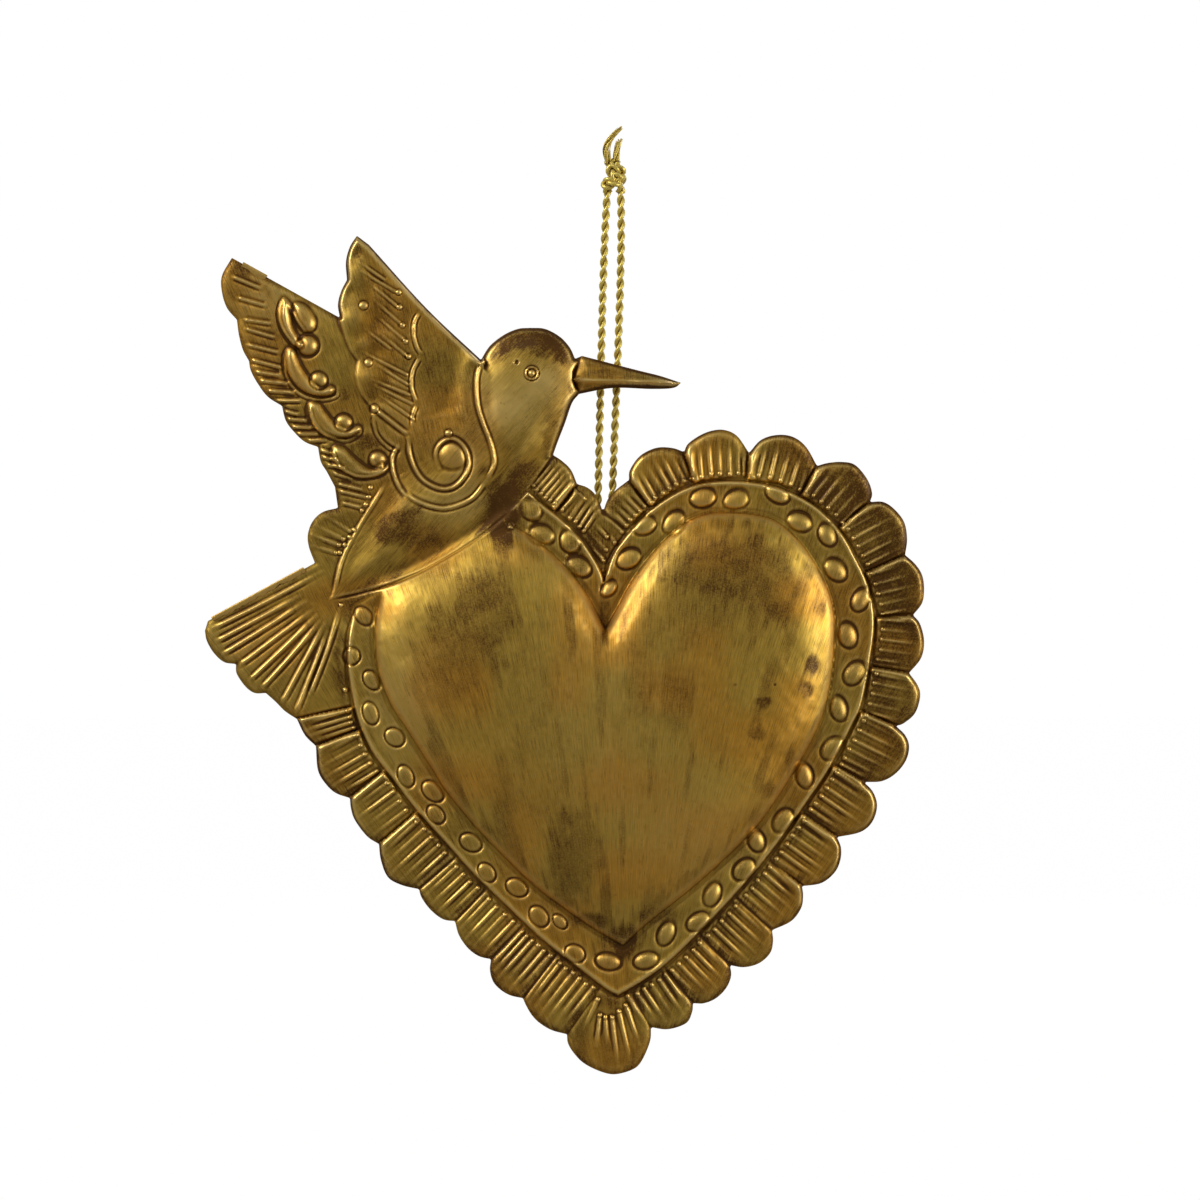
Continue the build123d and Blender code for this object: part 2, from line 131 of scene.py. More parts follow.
def spread(tree, value, low, high, toLow, toHigh):
    span = {"Value": value, "From Min": low, "From Max": high, "To Min": toLow, "To Max": toHigh}
    return addNode(tree, "MapRange", span).outputs[0]


def noiseOn(tree, place, scale, detail, roughness=0.5):
    noise = {"Vector": place, "Scale": scale, "Detail": detail, "Roughness": roughness}
    return addNode(tree, "TexNoise", noise).outputs[0]


def mixColour(tree, share, a, b, blend="MIX"):
    node = addNode(tree, "Mix", data_type="RGBA", blend_type=blend)
    for name, value in (("Factor", share), ("A", a), ("B", b)):
        feed(tree, next(s for s in node.inputs if s.name == name and s.enabled), value)
    return next(s for s in node.outputs if s.enabled)


def newGroup(name, inputs, outputs):
    group = bpy.data.node_groups.new(name, "ShaderNodeTree")
    for socket, kind, value in inputs:
        made = group.interface.new_socket(name=socket, in_out="INPUT", socket_type=kind)
        made.default_value = value
    for socket, kind in outputs:
        group.interface.new_socket(name=socket, in_out="OUTPUT", socket_type=kind)
    return group, group.nodes.new("NodeGroupInput"), group.nodes.new("NodeGroupOutput")


# View and light
view = {"middle": (600, 600), "frame": 1200, "distance": 1.35, "sensor": 36.0}
light = {
    "front": 0.365,  # what the flat face sees: the dim room behind the camera
    "side": 0.27,
    "back": 0.5,
    "below": 0.5,  # the room's share of that light near the floor and overhead
    "overhead": 1.1,
    "boxes": [
        ("softboxLeft", (-0.88, -0.42, 0.5), 7.0, 0.58),
        ("softboxRight", (0.97, -0.43, 0.06), 5.6, 0.7),
        ("softboxAbove", (-0.3, -1.3, 1.1), 1.2, 0.5),
        ("softboxBehind", (0.35, 1.3, 0.35), 5.0, 0.9),
    ],
    "aim": (0, 0, -0.12),
    "colour": (1.0, 0.97, 0.92),
}
floorPaper = {"z": -0.262, "half": 6.0, "colour": (0.3, 0.29, 0.28, 1), "white": 1.025, "seenWhite": 0.97}


def makeCamera():
    data = bpy.data.cameras.new("camera")
    frameWidth = view["frame"] * ornament["width"] / (ornament["right"] - ornament["left"])
    data.sensor_width = view["sensor"]
    data.lens = view["sensor"] * view["distance"] / frameWidth
    camera = newObject("camera", data, None)
    x, z = toX(view["middle"][0]), toZ(view["middle"][1])
    camera.location = (x, ornament["seamY"] - view["distance"], z)
    camera.rotation_euler = (math.radians(90), 0, 0)
    bpy.context.scene.camera = camera


def makeLights():
    for name, place, power, size in light["boxes"]:
        data = bpy.data.lights.new(name, "AREA")
        data.energy = power
        data.size = size
        data.color = light["colour"]
        lamp = newObject(name, data, None)
        lamp.location = place
        aim = Vector(light["aim"]) - Vector(place)
        lamp.rotation_euler = aim.to_track_quat("-Z", "Y").to_euler()


def makeWorld():
    world = bpy.data.worlds.new("studio")
    bpy.context.scene.world = world
    world.use_nodes = True
    tree = world.node_tree
    tree.nodes.clear()
    coords = addNode(tree, "TexCoord")
    way = addNode(tree, "SeparateXYZ", {0: coords.outputs["Generated"]})
    # from the room in front, round the sides, to the backdrop
    depth = addNode(tree, "ValToRGB", {0: spread(tree, way.outputs["Y"], -1, 1, 0, 1)})
    ramp = depth.color_ramp
    ramp.interpolation = "EASE"
    ramp.elements[0].position, ramp.elements[1].position = 0.08, 0.9
    middle = ramp.elements.new(0.5)
    for stop, side in ((ramp.elements[0], "front"), (middle, "side"), (ramp.elements[2], "back")):
        stop.color = (light[side],) * 3 + (1,)
    height = spread(tree, way.outputs["Z"], -1, 1, light["below"], light["overhead"])
    lit = addNode(tree, "Background", {"Strength": mathNode(tree, "MULTIPLY", depth.outputs[0], height)})
    seen = addNode(tree, "Background", {"Color": (1, 1, 1, 1)})
    onCamera = addNode(tree, "LightPath").outputs["Is Camera Ray"]
    mix = addNode(tree, "MixShader", {0: onCamera, 1: lit.outputs[0], 2: seen.outputs[0]})
    addNode(tree, "OutputWorld", {0: mix.outputs[0]})


def makeFloor():
    material = bpy.data.materials.new("paleFloor")
    material.use_nodes = True
    tree = material.node_tree
    tree.nodes.clear()
    paper = addNode(tree, "BsdfDiffuse", {"Color": floorPaper["colour"]})
    white = addNode(tree, "Emission", {"Strength": floorPaper["white"]})
    onCamera = addNode(tree, "LightPath").outputs["Is Camera Ray"]
    share = mathNode(tree, "MULTIPLY", onCamera, floorPaper["seenWhite"])
    mix = addNode(tree, "MixShader", {0: share, 1: paper.outputs[0], 2: white.outputs[0]})
    addNode(tree, "OutputMaterial", {0: mix.outputs[0]})
    mesh = bpy.data.meshes.new("floor")
    s, z = floorPaper["half"], floorPaper["z"]
    mesh.from_pydata([(-s, -s, z), (s, -s, z), (s, s, z), (-s, s, z)], [], [(0, 1, 2, 3)])
    mesh.materials.append(material)
    floor = newObject("floor", mesh, None)


makeCamera()
makeLights()
makeWorld()
makeFloor()
bpy.context.scene.view_settings.view_transform = "Standard"
print("stage, lights and camera ready")

# The relief of the sheets, as heights in mm on a grid of places
relief = {
    "step": 1.05,
    "backStep": 1.5,  # the back sheet's places are this many times further apart
    "pad": 6,
    "evenShare": 0.6,  # how much of a pillow is an even dome, and the rest a puffed skin
    "puffPower": 0.45,
    "edgeLevel": 0.42,  # crimped on the other sheet
    "edgeRun": 4.2,
    "lowest": 0.36,
    "highest": 12.4,
    # a pillow's height, as a share of its rise, against how far out it is
    "pillow": [
        (0.0, 1.0), (0.16, 1.0), (0.42, 0.96), (0.66, 0.86), (0.83, 0.67), (0.92, 0.46), (0.975, 0.22),
        (1.0, 0.0),
    ],
}

# Tool marks as (half width in px, rise in mm, dip beside it, taper at the start, taper at the end)
strokes = {
    "petalGroove": (1.6, -0.22, 0.2, 0, 0.1),
    "farLine": (1.2, 0.26, 0.8, 0.12, 0.12),
    "farFlute": (1.4, 0.36, 0.6, 0.12, 0.12),
    "tailRib": (1.7, 0.45, 0.6, 0.1, 0.4),
    "nearLine": (1.1, 0.24, 0.9, 0.5, 0.05),
    "nearStrong": (1.6, 0.5, 0.7, 0.15, 0.05),
    "nearScallop": (1.3, 0.26, 0.9, 0.12, 0.12),
    "tailFoot": (1.3, -0.4, 0.1, 0.15, 0.3),
    "belly": (1.5, 0.35, 0.3, 0.12, 0.12),
    "neck": (1.5, 0.5, 0.3, 0.08, 0.1),
    "leftLoop": (1.5, 0.38, 0.6, 0.1, 0.2),
    "underLoop": (1.5, 0.25, 1.1, 0.1, 0.2),
    "swirl": (1.5, 0.5, 0.6, 0.1, 0.15),
}


def curveThrough(points, closed=False, per=8):
    points = np.array(points, float)
    count = len(points)
    if count < 3:
        return points
    out = []
    last = count if closed else count - 1
    for i in range(last):
        p1, p2 = points[i], points[(i + 1) % count]
        p0 = points[i - 1] if (i > 0 or closed) else 2 * p1 - p2
        p3 = points[(i + 2) % count] if (i + 2 < count or closed) else 2 * p2 - p1
        for t in np.arange(per) / per:
            out.append(
                0.5 * (2 * p1 + (p2 - p0) * t + (2 * p0 - 5 * p1 + 4 * p2 - p3) * t**2
                       + (3 * p1 - p0 - 3 * p2 + p3) * t**3)
            )
    if not closed:
        out.append(points[-1])
    return np.array(out)


def chained(runs):
    # each run of places starts where the one before it ends
    return [[runs[i - 1][-1], *run] for i, run in enumerate(runs)]


def closedLine(runs):
    return np.concatenate([curveThrough(run, per=6)[:-1] for run in runs])


def resample(line, count):
    lengths = np.r_[0, np.cumsum(np.hypot(*np.diff(line, axis=0).T))]
    at = np.linspace(0, lengths[-1], count)
    return np.c_[np.interp(at, lengths, line[:, 0]), np.interp(at, lengths, line[:, 1])]


def nearestOn(line, point):
    best, place = 1e9, None
    for a, b in zip(line, line[1:]):
        d = b - a
        t = min(1, max(0, ((point - a) @ d) / max(d @ d, 1e-9)))
        spot = a + t * d
        far = math.hypot(*(point - spot))
        if far < best:
            best, place = far, spot
    return place


def fromSegment(x, y, a, b):
    # how far places lie from a straight piece of line, and which share along it is nearest
    px, py, d = x - a[0], y - a[1], b - a
    t = np.clip((px * d[0] + py * d[1]) / max(d @ d, 1e-9), 0, 1)
    return np.hypot(px - t * d[0], py - t * d[1]), t


def smooth(x):
    x = np.clip(x, 0, 1)
    return x * x * (3 - 2 * x)


def bell(x, middle, width):
    return np.exp(-(((x - middle) / width) ** 2))


def spotOn(x, y, middleX, middleY, a, b):
    return np.exp(-(((x - middleX) / a) ** 2) - ((y - middleY) / b) ** 2)


def mixed(a, b, share):
    return a * (1 - share) + b * share


def patchwork(seed, u, v, rows=128, cols=128):
    # random cells with soft changes between them
    cells = np.random.RandomState(seed).rand(rows, cols)
    iu, iv = np.floor(u).astype(int), np.floor(v).astype(int)
    fu, fv = smooth(u - iu), smooth(v - iv)
    left, right, top, foot = iu % cols, (iu + 1) % cols, iv % rows, (iv + 1) % rows
    upper = mixed(cells[top, left], cells[top, right], fu)
    return mixed(upper, mixed(cells[foot, left], cells[foot, right], fu), fv)


def softMax(a, b, width):
    gap = np.clip(np.abs(a - b) / width, 0, 1)
    return np.maximum(a, b) + width * 0.25 * (1 - gap) ** 2


class Grid:
    def __init__(self, step):
        self.step = step
        pad = relief["pad"]
        self.xs = np.arange(ornament["left"] - pad, ornament["right"] + pad, step)
        self.ys = np.arange(ornament["top"] - pad, ornament["bottom"] + pad, step)
        self.x, self.y = np.meshgrid(self.xs, self.ys)
        self.h = np.full(self.x.shape, ornament["rimLevel"])
        # painted shade is later put where a petal dips
        self.low = np.zeros(self.x.shape)  # where a petal dips under its neighbour

    def window(self, points, pad):
        points = np.asarray(points, float)
        low, high = points.min(axis=0) - pad, points.max(axis=0) + pad
        c0, c1 = np.searchsorted(self.xs, (low[0], high[0]))
        r0, r1 = np.searchsorted(self.ys, (low[1], high[1]))
        return slice(r0, r1), slice(c0, c1)

    def inside(self, outline):
        hit = np.zeros(self.x.shape, bool)
        for (x0, y0), (x1, y1) in zip(outline, np.roll(outline, -1, axis=0)):
            if y0 == y1:
                continue
            r0, r1 = np.searchsorted(self.ys, (min(y0, y1), max(y0, y1)))
            if r1 > r0:
                cross = x0 + (self.ys[r0:r1] - y0) * (x1 - x0) / (y1 - y0)
                hit[r0:r1] ^= self.xs[None, :] > cross[:, None]
        return hit

    def nearness(self, line, reach, closed=False):
        near = np.full(self.x.shape, float(reach))
        ends = np.roll(line, -1, axis=0) if closed else line[1:]
        for a, b in zip(line, ends):
            win = self.window([a, b], reach)
            near[win] = np.minimum(near[win], fromSegment(self.x[win], self.y[win], a, b)[0])
        return near

    def depth(self, outline, reach):
        near = self.nearness(outline, reach, closed=True)
        return np.where(self.inside(outline), near, -near)

    def puff(self, depth):
        # a skin blown up over the outline, worked out coarse first
        mask = depth > 0
        u = None
        for stride, sweeps in ((16, 120), (8, 120), (4, 90), (2, 60), (1, 40)):
            m = mask[::stride, ::stride]
            if u is None:
                u = np.zeros(m.shape)
            else:
                u = np.repeat(np.repeat(u, 2, axis=0), 2, axis=1)[: m.shape[0], : m.shape[1]]
                u = np.pad(u, ((0, m.shape[0] - u.shape[0]), (0, m.shape[1] - u.shape[1])), "edge")
            source = float(stride * stride)
            for _ in range(sweeps):
                p = np.pad(u, 1)
                u = (p[:-2, 1:-1] + p[2:, 1:-1] + p[1:-1, :-2] + p[1:-1, 2:] + source) / 4 * m
        return u / u.max()

    def fan(self, outline, middle):
        # how far out from a form's middle a place is, as a share of the way to its outline
        px, py = self.x - middle[0], self.y - middle[1]
        ways = outline - np.array(middle)
        angles, reaches = np.arctan2(ways[:, 1], ways[:, 0]), np.hypot(ways[:, 0], ways[:, 1])
        order = np.argsort(angles)
        angles, reaches = angles[order], reaches[order]
        angles = np.r_[angles[-1] - 2 * math.pi, angles, angles[0] + 2 * math.pi]
        reaches = np.r_[reaches[-1], reaches, reaches[0]]
        return np.hypot(px, py) / np.interp(np.arctan2(py, px), angles, reaches)

    def pillow(self, outline, middle, depth):
        outs, ups = zip(*relief["pillow"])
        even = np.interp(self.fan(outline, middle), outs, ups)
        share = relief["evenShare"]
        full = share * even + (1 - share) * self.puff(depth) ** relief["puffPower"]
        return self.blur(full, 2.5)

    def blur(self, field, size):
        radius = max(1, int(round(size / self.step)))
        for _ in range(2):
            for axis in (0, 1):
                pads = [(0, 0), (0, 0)]
                pads[axis] = (radius + 1, radius)
                total = np.cumsum(np.pad(field, pads, "edge"), axis=axis)
                width = 2 * radius + 1
                high = np.take(total, range(width, total.shape[axis]), axis=axis)
                low = np.take(total, range(0, total.shape[axis] - width), axis=axis)
                field = (high - low) / width
        return field

    def cloud(self, seed, cell):
        rows = int(len(self.ys) * self.step / cell) + 3
        cols = int(len(self.xs) * self.step / cell) + 3
        u, v = (self.xs[None, :] - self.xs[0]) / cell, (self.ys[:, None] - self.ys[0]) / cell
        return patchwork(seed, u, v, rows, cols)

    def unevenness(self, layers):
        return sum(size * (self.cloud(seed, cell) - 0.5) for seed, cell, size in layers)

    def chase(self, lines, stroke):
        for places in lines:
            self.ridge(places, *strokes[stroke])

    def ridge(self, points, width, rise, dip, startTaper, endTaper):
        # a raised or sunk line with a shallow dip on each side, thinner at its ends
        line = curveThrough(points, per=6)
        lengths = np.hypot(*np.diff(line, axis=0).T)
        total = lengths.sum()
        win = self.window(line, width * 4)
        best = np.full(self.x[win].shape, 1e9)
        along = np.zeros(best.shape)
        done = 0.0
        for a, b, size in zip(line, line[1:], lengths):
            dist, t = fromSegment(self.x[win], self.y[win], a, b)
            closer = dist < best
            best = np.where(closer, dist, best)
            along = np.where(closer, (done + t * size) / total, along)
            done += size
        full = np.ones(best.shape)
        for share, taper in ((along, startTaper), (1 - along, endTaper)):
            if taper:
                full = np.minimum(full, 0.15 + 0.85 * smooth(share / taper))
        self.h[win] += rise * full * (bell(best, 0, width) - dip * bell(best, 2.1 * width, width))

    def boss(self, x, y, a, b, turn, rise, ring=0.0, moat=0.3, power=0.6):
        # an oval blow of the punch, with a lip or a moat round it
        win = self.window([(x, y)], max(a, b) * 1.8)
        c, s = math.cos(math.radians(turn)), math.sin(math.radians(turn))
        px, py = self.x[win] - x, self.y[win] - y
        u, v = (px * c + py * s) / a, (-px * s + py * c) / b
        r = np.hypot(u, v)
        dome = np.clip(1 - r * r, 0, 1) ** power
        self.h[win] += rise * dome + ring * bell(r, 0.98, 0.15) - moat * bell(r, 1.18, 0.16)

    def swelling(self, outline, rise, shoulder):
        inward = self.depth(outline, 12)
        self.h += rise * np.sin(np.clip(inward / shoulder, 0, 1) * math.pi / 2) ** 0.9
        self.h -= 0.15 * bell(inward, -1.6, 1.5)


# The cut outline, clockwise from the cleft, one run of places for each scallop or straight edge
rim = {
    "outline": chained([
        [(608, 499), (616, 490), (629, 480)], [(630, 470), (640, 456), (656, 448), (672, 448), (684, 452)],
        [(688, 444), (699, 436), (711, 431), (724, 430), (737, 436), (749, 453)],
        [(761, 440), (777, 435), (793, 437), (806, 447), (817, 466)],
        [(828, 463), (842, 462), (855, 465), (867, 479), (872, 493), (870, 502)],
        [(883, 502), (894, 509), (904, 522), (907, 539), (905, 555)],
        [(915, 564), (922, 575), (924, 589), (922, 603), (913, 615)],
        [(920, 624), (924, 641), (921, 658), (909, 673)],
        [(918, 686), (920, 697), (915, 713), (904, 723), (896, 726)],
        [(905, 735), (909, 746), (906, 760), (896, 773), (882, 781), (864, 782)],
        [(873, 792), (877, 806), (872, 822), (860, 832), (837, 837)],
        [(841, 848), (840, 861), (834, 873), (821, 883), (802, 886)],
        [(803, 896), (801, 908), (791, 921), (772, 930)],
        [(773, 941), (770, 953), (759, 963), (744, 967), (730, 965)],
        [(731, 976), (726, 988), (716, 998), (704, 1003), (693, 1003)],
        [(692, 1012), (686, 1023), (668, 1029), (651, 1027)],
        [(650, 1041), (642, 1060), (633, 1069), (615, 1074), (600, 1071), (584, 1063), (574, 1053),
         (568, 1043), (567, 1034)],
        [(552, 1030), (540, 1023), (532, 1015), (526, 1005), (523, 998)],
        [(510, 995), (500, 989), (493, 981), (490, 970), (491, 959)],
        [(479, 956), (468, 948), (459, 935), (455, 921)], [(443, 919), (431, 910), (422, 898), (419, 889)],
        [(402, 885), (388, 877), (381, 860), (379, 844)], [(367, 836), (355, 820), (351, 808), (350, 798)],
        [(336, 793), (326, 784), (318, 770), (316, 746)], [(305, 735), (297, 719)],
        [(285, 711), (276, 702), (266, 693)], [(255, 693), (246, 687), (237, 674), (236, 664)],
        [(224, 662), (214, 653), (207, 641), (205, 631)], [(208, 621)], [(315, 563)],
        [(309, 547), (308, 534), (313, 521), (323, 512), (338, 508)], [(335, 487)],
        [(327, 472), (321, 462), (318, 447)], [(305, 442), (295, 433), (286, 421), (282, 406)],
        [(268, 397), (258, 384), (251, 371), (249, 361)], [(243, 350), (239, 335), (237, 320)],
        [(227, 308), (222, 292), (222, 276), (232, 258)], [(340, 318)],
        [(338, 305), (341, 292), (347, 280)], [(346, 262), (350, 247), (357, 236)], [(369, 245)],
        [(427, 309), (481, 360)], [(490, 346), (504, 335), (518, 329), (530, 328)],
        [(545, 329), (560, 337), (570, 348), (575, 359)], [(582, 356)],
        [(636, 370), (660, 376), (681, 383)], [(673, 388), (651, 389), (613, 388), (579, 394)],
        [(572, 403), (565, 423), (558, 441), (553, 455)], [(562, 461), (571, 470), (577, 484)],
        [(588, 488), (597, 497), (603, 512)],
    ]),
    "scallops": [*range(0, 16), *range(17, 25), 48, 49],
    "fluteCounts": {0: 5, 1: 7, 2: 7, 3: 6, 4: 6, 5: 6, 17: 6, 18: 6, 48: 6, 49: 5},
    "fluteGap": 12.8,  # px from flute to flute where there is no count
    "fluteRise": 0.4,
    "fluteWidth": 1.5,
    "headRoom": 6.5,  # px between a flute's rounded head and the band's foot
    "edgeGap": {"left": 3.0, "right": 9.0},
    "swell": 0.3,
    "tilt": 1.1,
    # flutes that stand by themselves: on the tip, behind the bird's belly and in the cleft
    "ownFlutes": [
        [(581, 1033), (598, 999)], [(596, 1046), (600, 1015)], [(607, 1048), (605, 1017)],
        [(618, 1066), (612, 1017)], [(630, 1060), (619, 1011)], [(639, 1044), (626, 1005)],
        [(644, 1022), (627, 995)], [(324, 515), (350, 531)], [(315, 525), (343, 539)],
        [(312, 535), (339, 545)], [(313, 546), (336, 553)], [(595, 524), (607, 537)],
        [(588, 531), (606, 550)], [(590, 545), (604, 561)], [(595, 556), (603, 571)],
        [(612, 521), (622, 532)], [(609, 533), (615, 543)],
    ],
}


def rimPetals(bandCurve):
    petals = []
    for number in rim["scallops"]:
        edge = curveThrough(rim["outline"][number])
        feet = [nearestOn(bandCurve, spot) for spot in (edge[0], (edge[0] + edge[-1]) / 2, edge[-1])]
        petals.append({"number": number, "edge": edge, "feet": feet})
    return petals


def rimFlutes(g, petals):
    # parallel tool marks from the cut edge to just short of the band's foot
    chance = random.Random(4)
    flutes = []
    for petal in petals:
        edge = petal["edge"]
        length = np.hypot(*np.diff(edge, axis=0).T).sum()
        count = rim["fluteCounts"].get(petal["number"], max(4, int(round(length / rim["fluteGap"]))))
        middle = (edge[0] + edge[-1]) / 2
        inward = petal["feet"][1] - middle
        inward /= math.hypot(*inward)
        side = "right" if middle[0] > ornament["heartX"] else "left"
        for spot in resample(edge, count + 2)[1:-1]:
            own = nearestOn(np.array(petal["feet"]), spot) - spot
            way = inward * 0.75 + 0.25 * own / math.hypot(*own)
            way /= math.hypot(*way)
            start = spot + way * (rim["edgeGap"][side] + chance.uniform(-1.5, 2.5))
            end = start
            for _ in range(80):
                ahead = end + way * 1.5
                row = min(max(int((ahead[1] - g.ys[0]) / g.step), 0), len(g.ys) - 1)
                col = min(max(int((ahead[0] - g.xs[0]) / g.step), 0), len(g.xs) - 1)
                if g.band[row, col] > -rim["headRoom"] or g.edge[row, col] < 0:
                    break
                end = ahead
            if math.hypot(*(end - start)) > 10:
                flutes.append((start, end))
    return flutes


def tiltPetals(g, petals):
    # each petal stands a little proud at its upper end and dips at its lower one, like shingles
    chance = random.Random(31)
    for petal in petals:
        proud = rim["tilt"] * chance.uniform(0.65, 1.25)
        edge, feet = petal["edge"], petal["feet"]
        win = g.window(np.vstack([edge, feet[0][None], feet[2][None]]), 3)
        x, y = g.x[win], g.y[win]

        def away(a, b):
            d = (b - a) / max(math.hypot(*(b - a)), 1e-6)
            return (x - a[0]) * d[1] - (y - a[1]) * d[0]

        first, last = away(edge[0], feet[0]), -away(edge[-1], feet[2])
        if (first > 0).sum() < (first < 0).sum():
            first, last = -first, -last
        ahead, behind = np.clip(first, 0, None), np.clip(last, 0, None)
        share = ahead / np.maximum(ahead + behind, 1e-6)
        own = (first > 0) & (last > 0)
        high = 1 - share if edge[:, 0].mean() > ornament["heartX"] else share
        roll = bell(high, 0.93, 0.07) * 0.5
        bulge = np.sin(np.clip(share, 0, 1) * math.pi) * 0.4
        fade = smooth(-g.band[win] / 4) * own
        # the low end of each petal, where painted shade goes
        g.low[win] = np.maximum(g.low[win], fade * smooth((0.34 - high) / 0.3))
        # the two rows meet flat in the cleft
        fade *= smooth((g.y[win] - 470) / -40 + 1.4 * (np.abs(x - ornament["heartX"]) / 24))
        g.h[win] += proud * (high**1.4 - 0.25) * fade + (roll + bulge) * fade


def chaseRim(g, petals):
    flutes = rimFlutes(g, petals)
    flutes += [(np.array(a, float), np.array(b, float)) for a, b in rim["ownFlutes"]]
    chance = random.Random(9)
    for outer, inner in flutes:
        rise = rim["fluteRise"] * chance.uniform(0.45, 1.0)
        g.ridge([outer, inner], rim["fluteWidth"], rise, 0.45, 0.6, 0)
        g.boss(inner[0], inner[1], 2.2, 2.2, 0, rise * 0.8, moat=0.16)
    for petal in petals:
        g.chase([[petal["edge"][end], petal["feet"][end]] for end in (0, -1)], "petalGroove")


heart = {
    "bandRise": 1.5,
    "bandLip": 0.22,
    "bandMoat": 0.14,
    "bandStart": (352, 600, 30, 26),  # the tail's sheet runs on into the band here, with no step
    "bandLine": chained([
        [(612, 557), (626, 536), (647, 513), (672, 495), (695, 485), (722, 481), (750, 482), (777, 487),
         (800, 497), (821, 511), (842, 534), (855, 557), (866, 580), (873, 607), (874, 630), (870, 660),
         (862, 702), (853, 723), (830, 767), (808, 800), (770, 853), (735, 894), (700, 931), (668, 962),
         (642, 981), (618, 995)],
        [(605, 988), (579, 968), (542, 939), (508, 907), (475, 875), (449, 846), (414, 807), (393, 779),
         (373, 753), (360, 725), (353, 699), (348, 666), (349, 634), (356, 606)],
        [(390, 586), (430, 566), (490, 530), (528, 491)],
        [(540, 502), (560, 518), (577, 534), (590, 552), (600, 569), (604, 581)],
    ]),
    "domeRise": 11.5,
    "domeGroove": 0.22,
    "domeMiddle": 722,
    "domeLine": chained([
        [(617, 607), (633, 578), (656, 548), (681, 525), (704, 514), (727, 512), (754, 514), (777, 521),
         (800, 541), (816, 564), (828, 589), (834, 612), (835, 635), (833, 664), (829, 693), (821, 721),
         (804, 755), (768, 812), (735, 849), (692, 888), (648, 923), (623, 946)],
        [(594, 929), (562, 907), (529, 881), (482, 834), (449, 795), (430, 766), (407, 730), (390, 703),
         (378, 671), (375, 642), (376, 615), (382, 588)],
        [(423, 570), (470, 545), (511, 524)],
        [(527, 533), (542, 544), (560, 560), (572, 573), (585, 590), (595, 607), (605, 628)],
    ]),
    # beads as (x, y, turn, half length, half width); those from number 24 to 37 are only chased
    "beads": [
        (609, 589, -48, 9, 6), (629, 559, -25, 12, 9), (645, 526, -28, 11, 8), (674, 523, -50, 12, 9),
        (703, 498, -12, 12, 9), (736, 500, -18, 12, 9), (777, 494, 32, 12, 8), (799, 522, 18, 12, 9),
        (827, 535, 62, 11, 8), (835, 570, 42, 12, 9), (860, 600, -65, 11, 8), (847, 635, 72, 12, 9),
        (854, 673, -52, 12, 9), (838, 708, 74, 12, 8), (832, 748, -45, 12, 9), (804, 775, 74, 12, 8),
        (783, 820, -55, 12, 9), (756, 840, 68, 11, 8), (744, 869, -42, 12, 9), (712, 894, -68, 12, 8),
        (698, 921, -32, 12, 8), (666, 933, -66, 12, 8), (646, 960, -14, 12, 8), (608, 961, 12, 12, 8),
        (575, 953, 28, 11, 9), (560, 921, 45, 9, 6), (539, 916, 52, 12, 9), (517, 887, 28, 12, 9),
        (487, 872, 52, 11, 8), (471, 842, 28, 12, 9), (436, 814, 48, 11, 8), (433, 791, 42, 13, 9),
        (406, 776, 66, 12, 8), (395, 737, 36, 11, 9), (371, 713, 72, 12, 8), (372, 680, 52, 11, 8),
        (352, 656, 32, 9, 9), (364, 616, 46, 11, 8), (531, 510, 48, 11, 9), (542, 535, 18, 12, 9),
        (570, 542, 62, 11, 9), (579, 567, 28, 12, 9),
    ],
    "chased": range(24, 38),
    "small": [*range(0, 6), *range(38, 42)],
    "beadMiddle": 700,
}


def raiseHeart(g):
    # the band is a raised step with a rounded lip, and the dome a pillow on it
    started = 1 - spotOn(g.x, g.y, *heart["bandStart"])
    g.h -= started * heart["bandMoat"] * bell(g.band, -2.2, 1.5)
    g.h += started * heart["bandRise"] * smooth((g.band + 1.2) / 3.0)
    g.h += started * heart["bandLip"] * bell(g.band, 3.0, 2.6)
    g.h -= 0.16 * bell(g.dome, -3.4, 1.3) * (g.band > 0)
    domeShape = g.pillow(closedLine(heart["domeLine"]), (ornament["heartX"], heart["domeMiddle"]), g.dome)
    domeShape = mixed(domeShape, g.blur(domeShape, 8), smooth(g.dome / 16))
    inDome = smooth((g.dome + 0.6) / 2.4)
    g.h += inDome * (heart["domeRise"] - heart["bandRise"]) * domeShape
    g.h -= heart["domeGroove"] * bell(g.dome, 0, 1.2)


def punchBeads(g):
    for number, (x, y, turn, a, b) in enumerate(heart["beads"]):
        out = np.array((x - ornament["heartX"], y - heart["beadMiddle"]))
        out = out / math.hypot(*out)
        if number in heart["chased"]:
            g.boss(x + 2, y + 2, a, b, turn, -0.25, moat=0.0, power=1.0)
            g.boss(x, y, a, b, turn, 0.6, ring=-0.3, moat=-0.06, power=1.0)
        else:
            rise = 1.15 if number in heart["small"] else 1.4
            g.boss(x + 2.5 * out[0] - 1, y + 2.5 * out[1] - 2, a + 2, b + 2, turn, -0.7, moat=0.0, power=1.0)
            g.boss(x, y, a, b, turn, rise, moat=0.2, power=0.85)


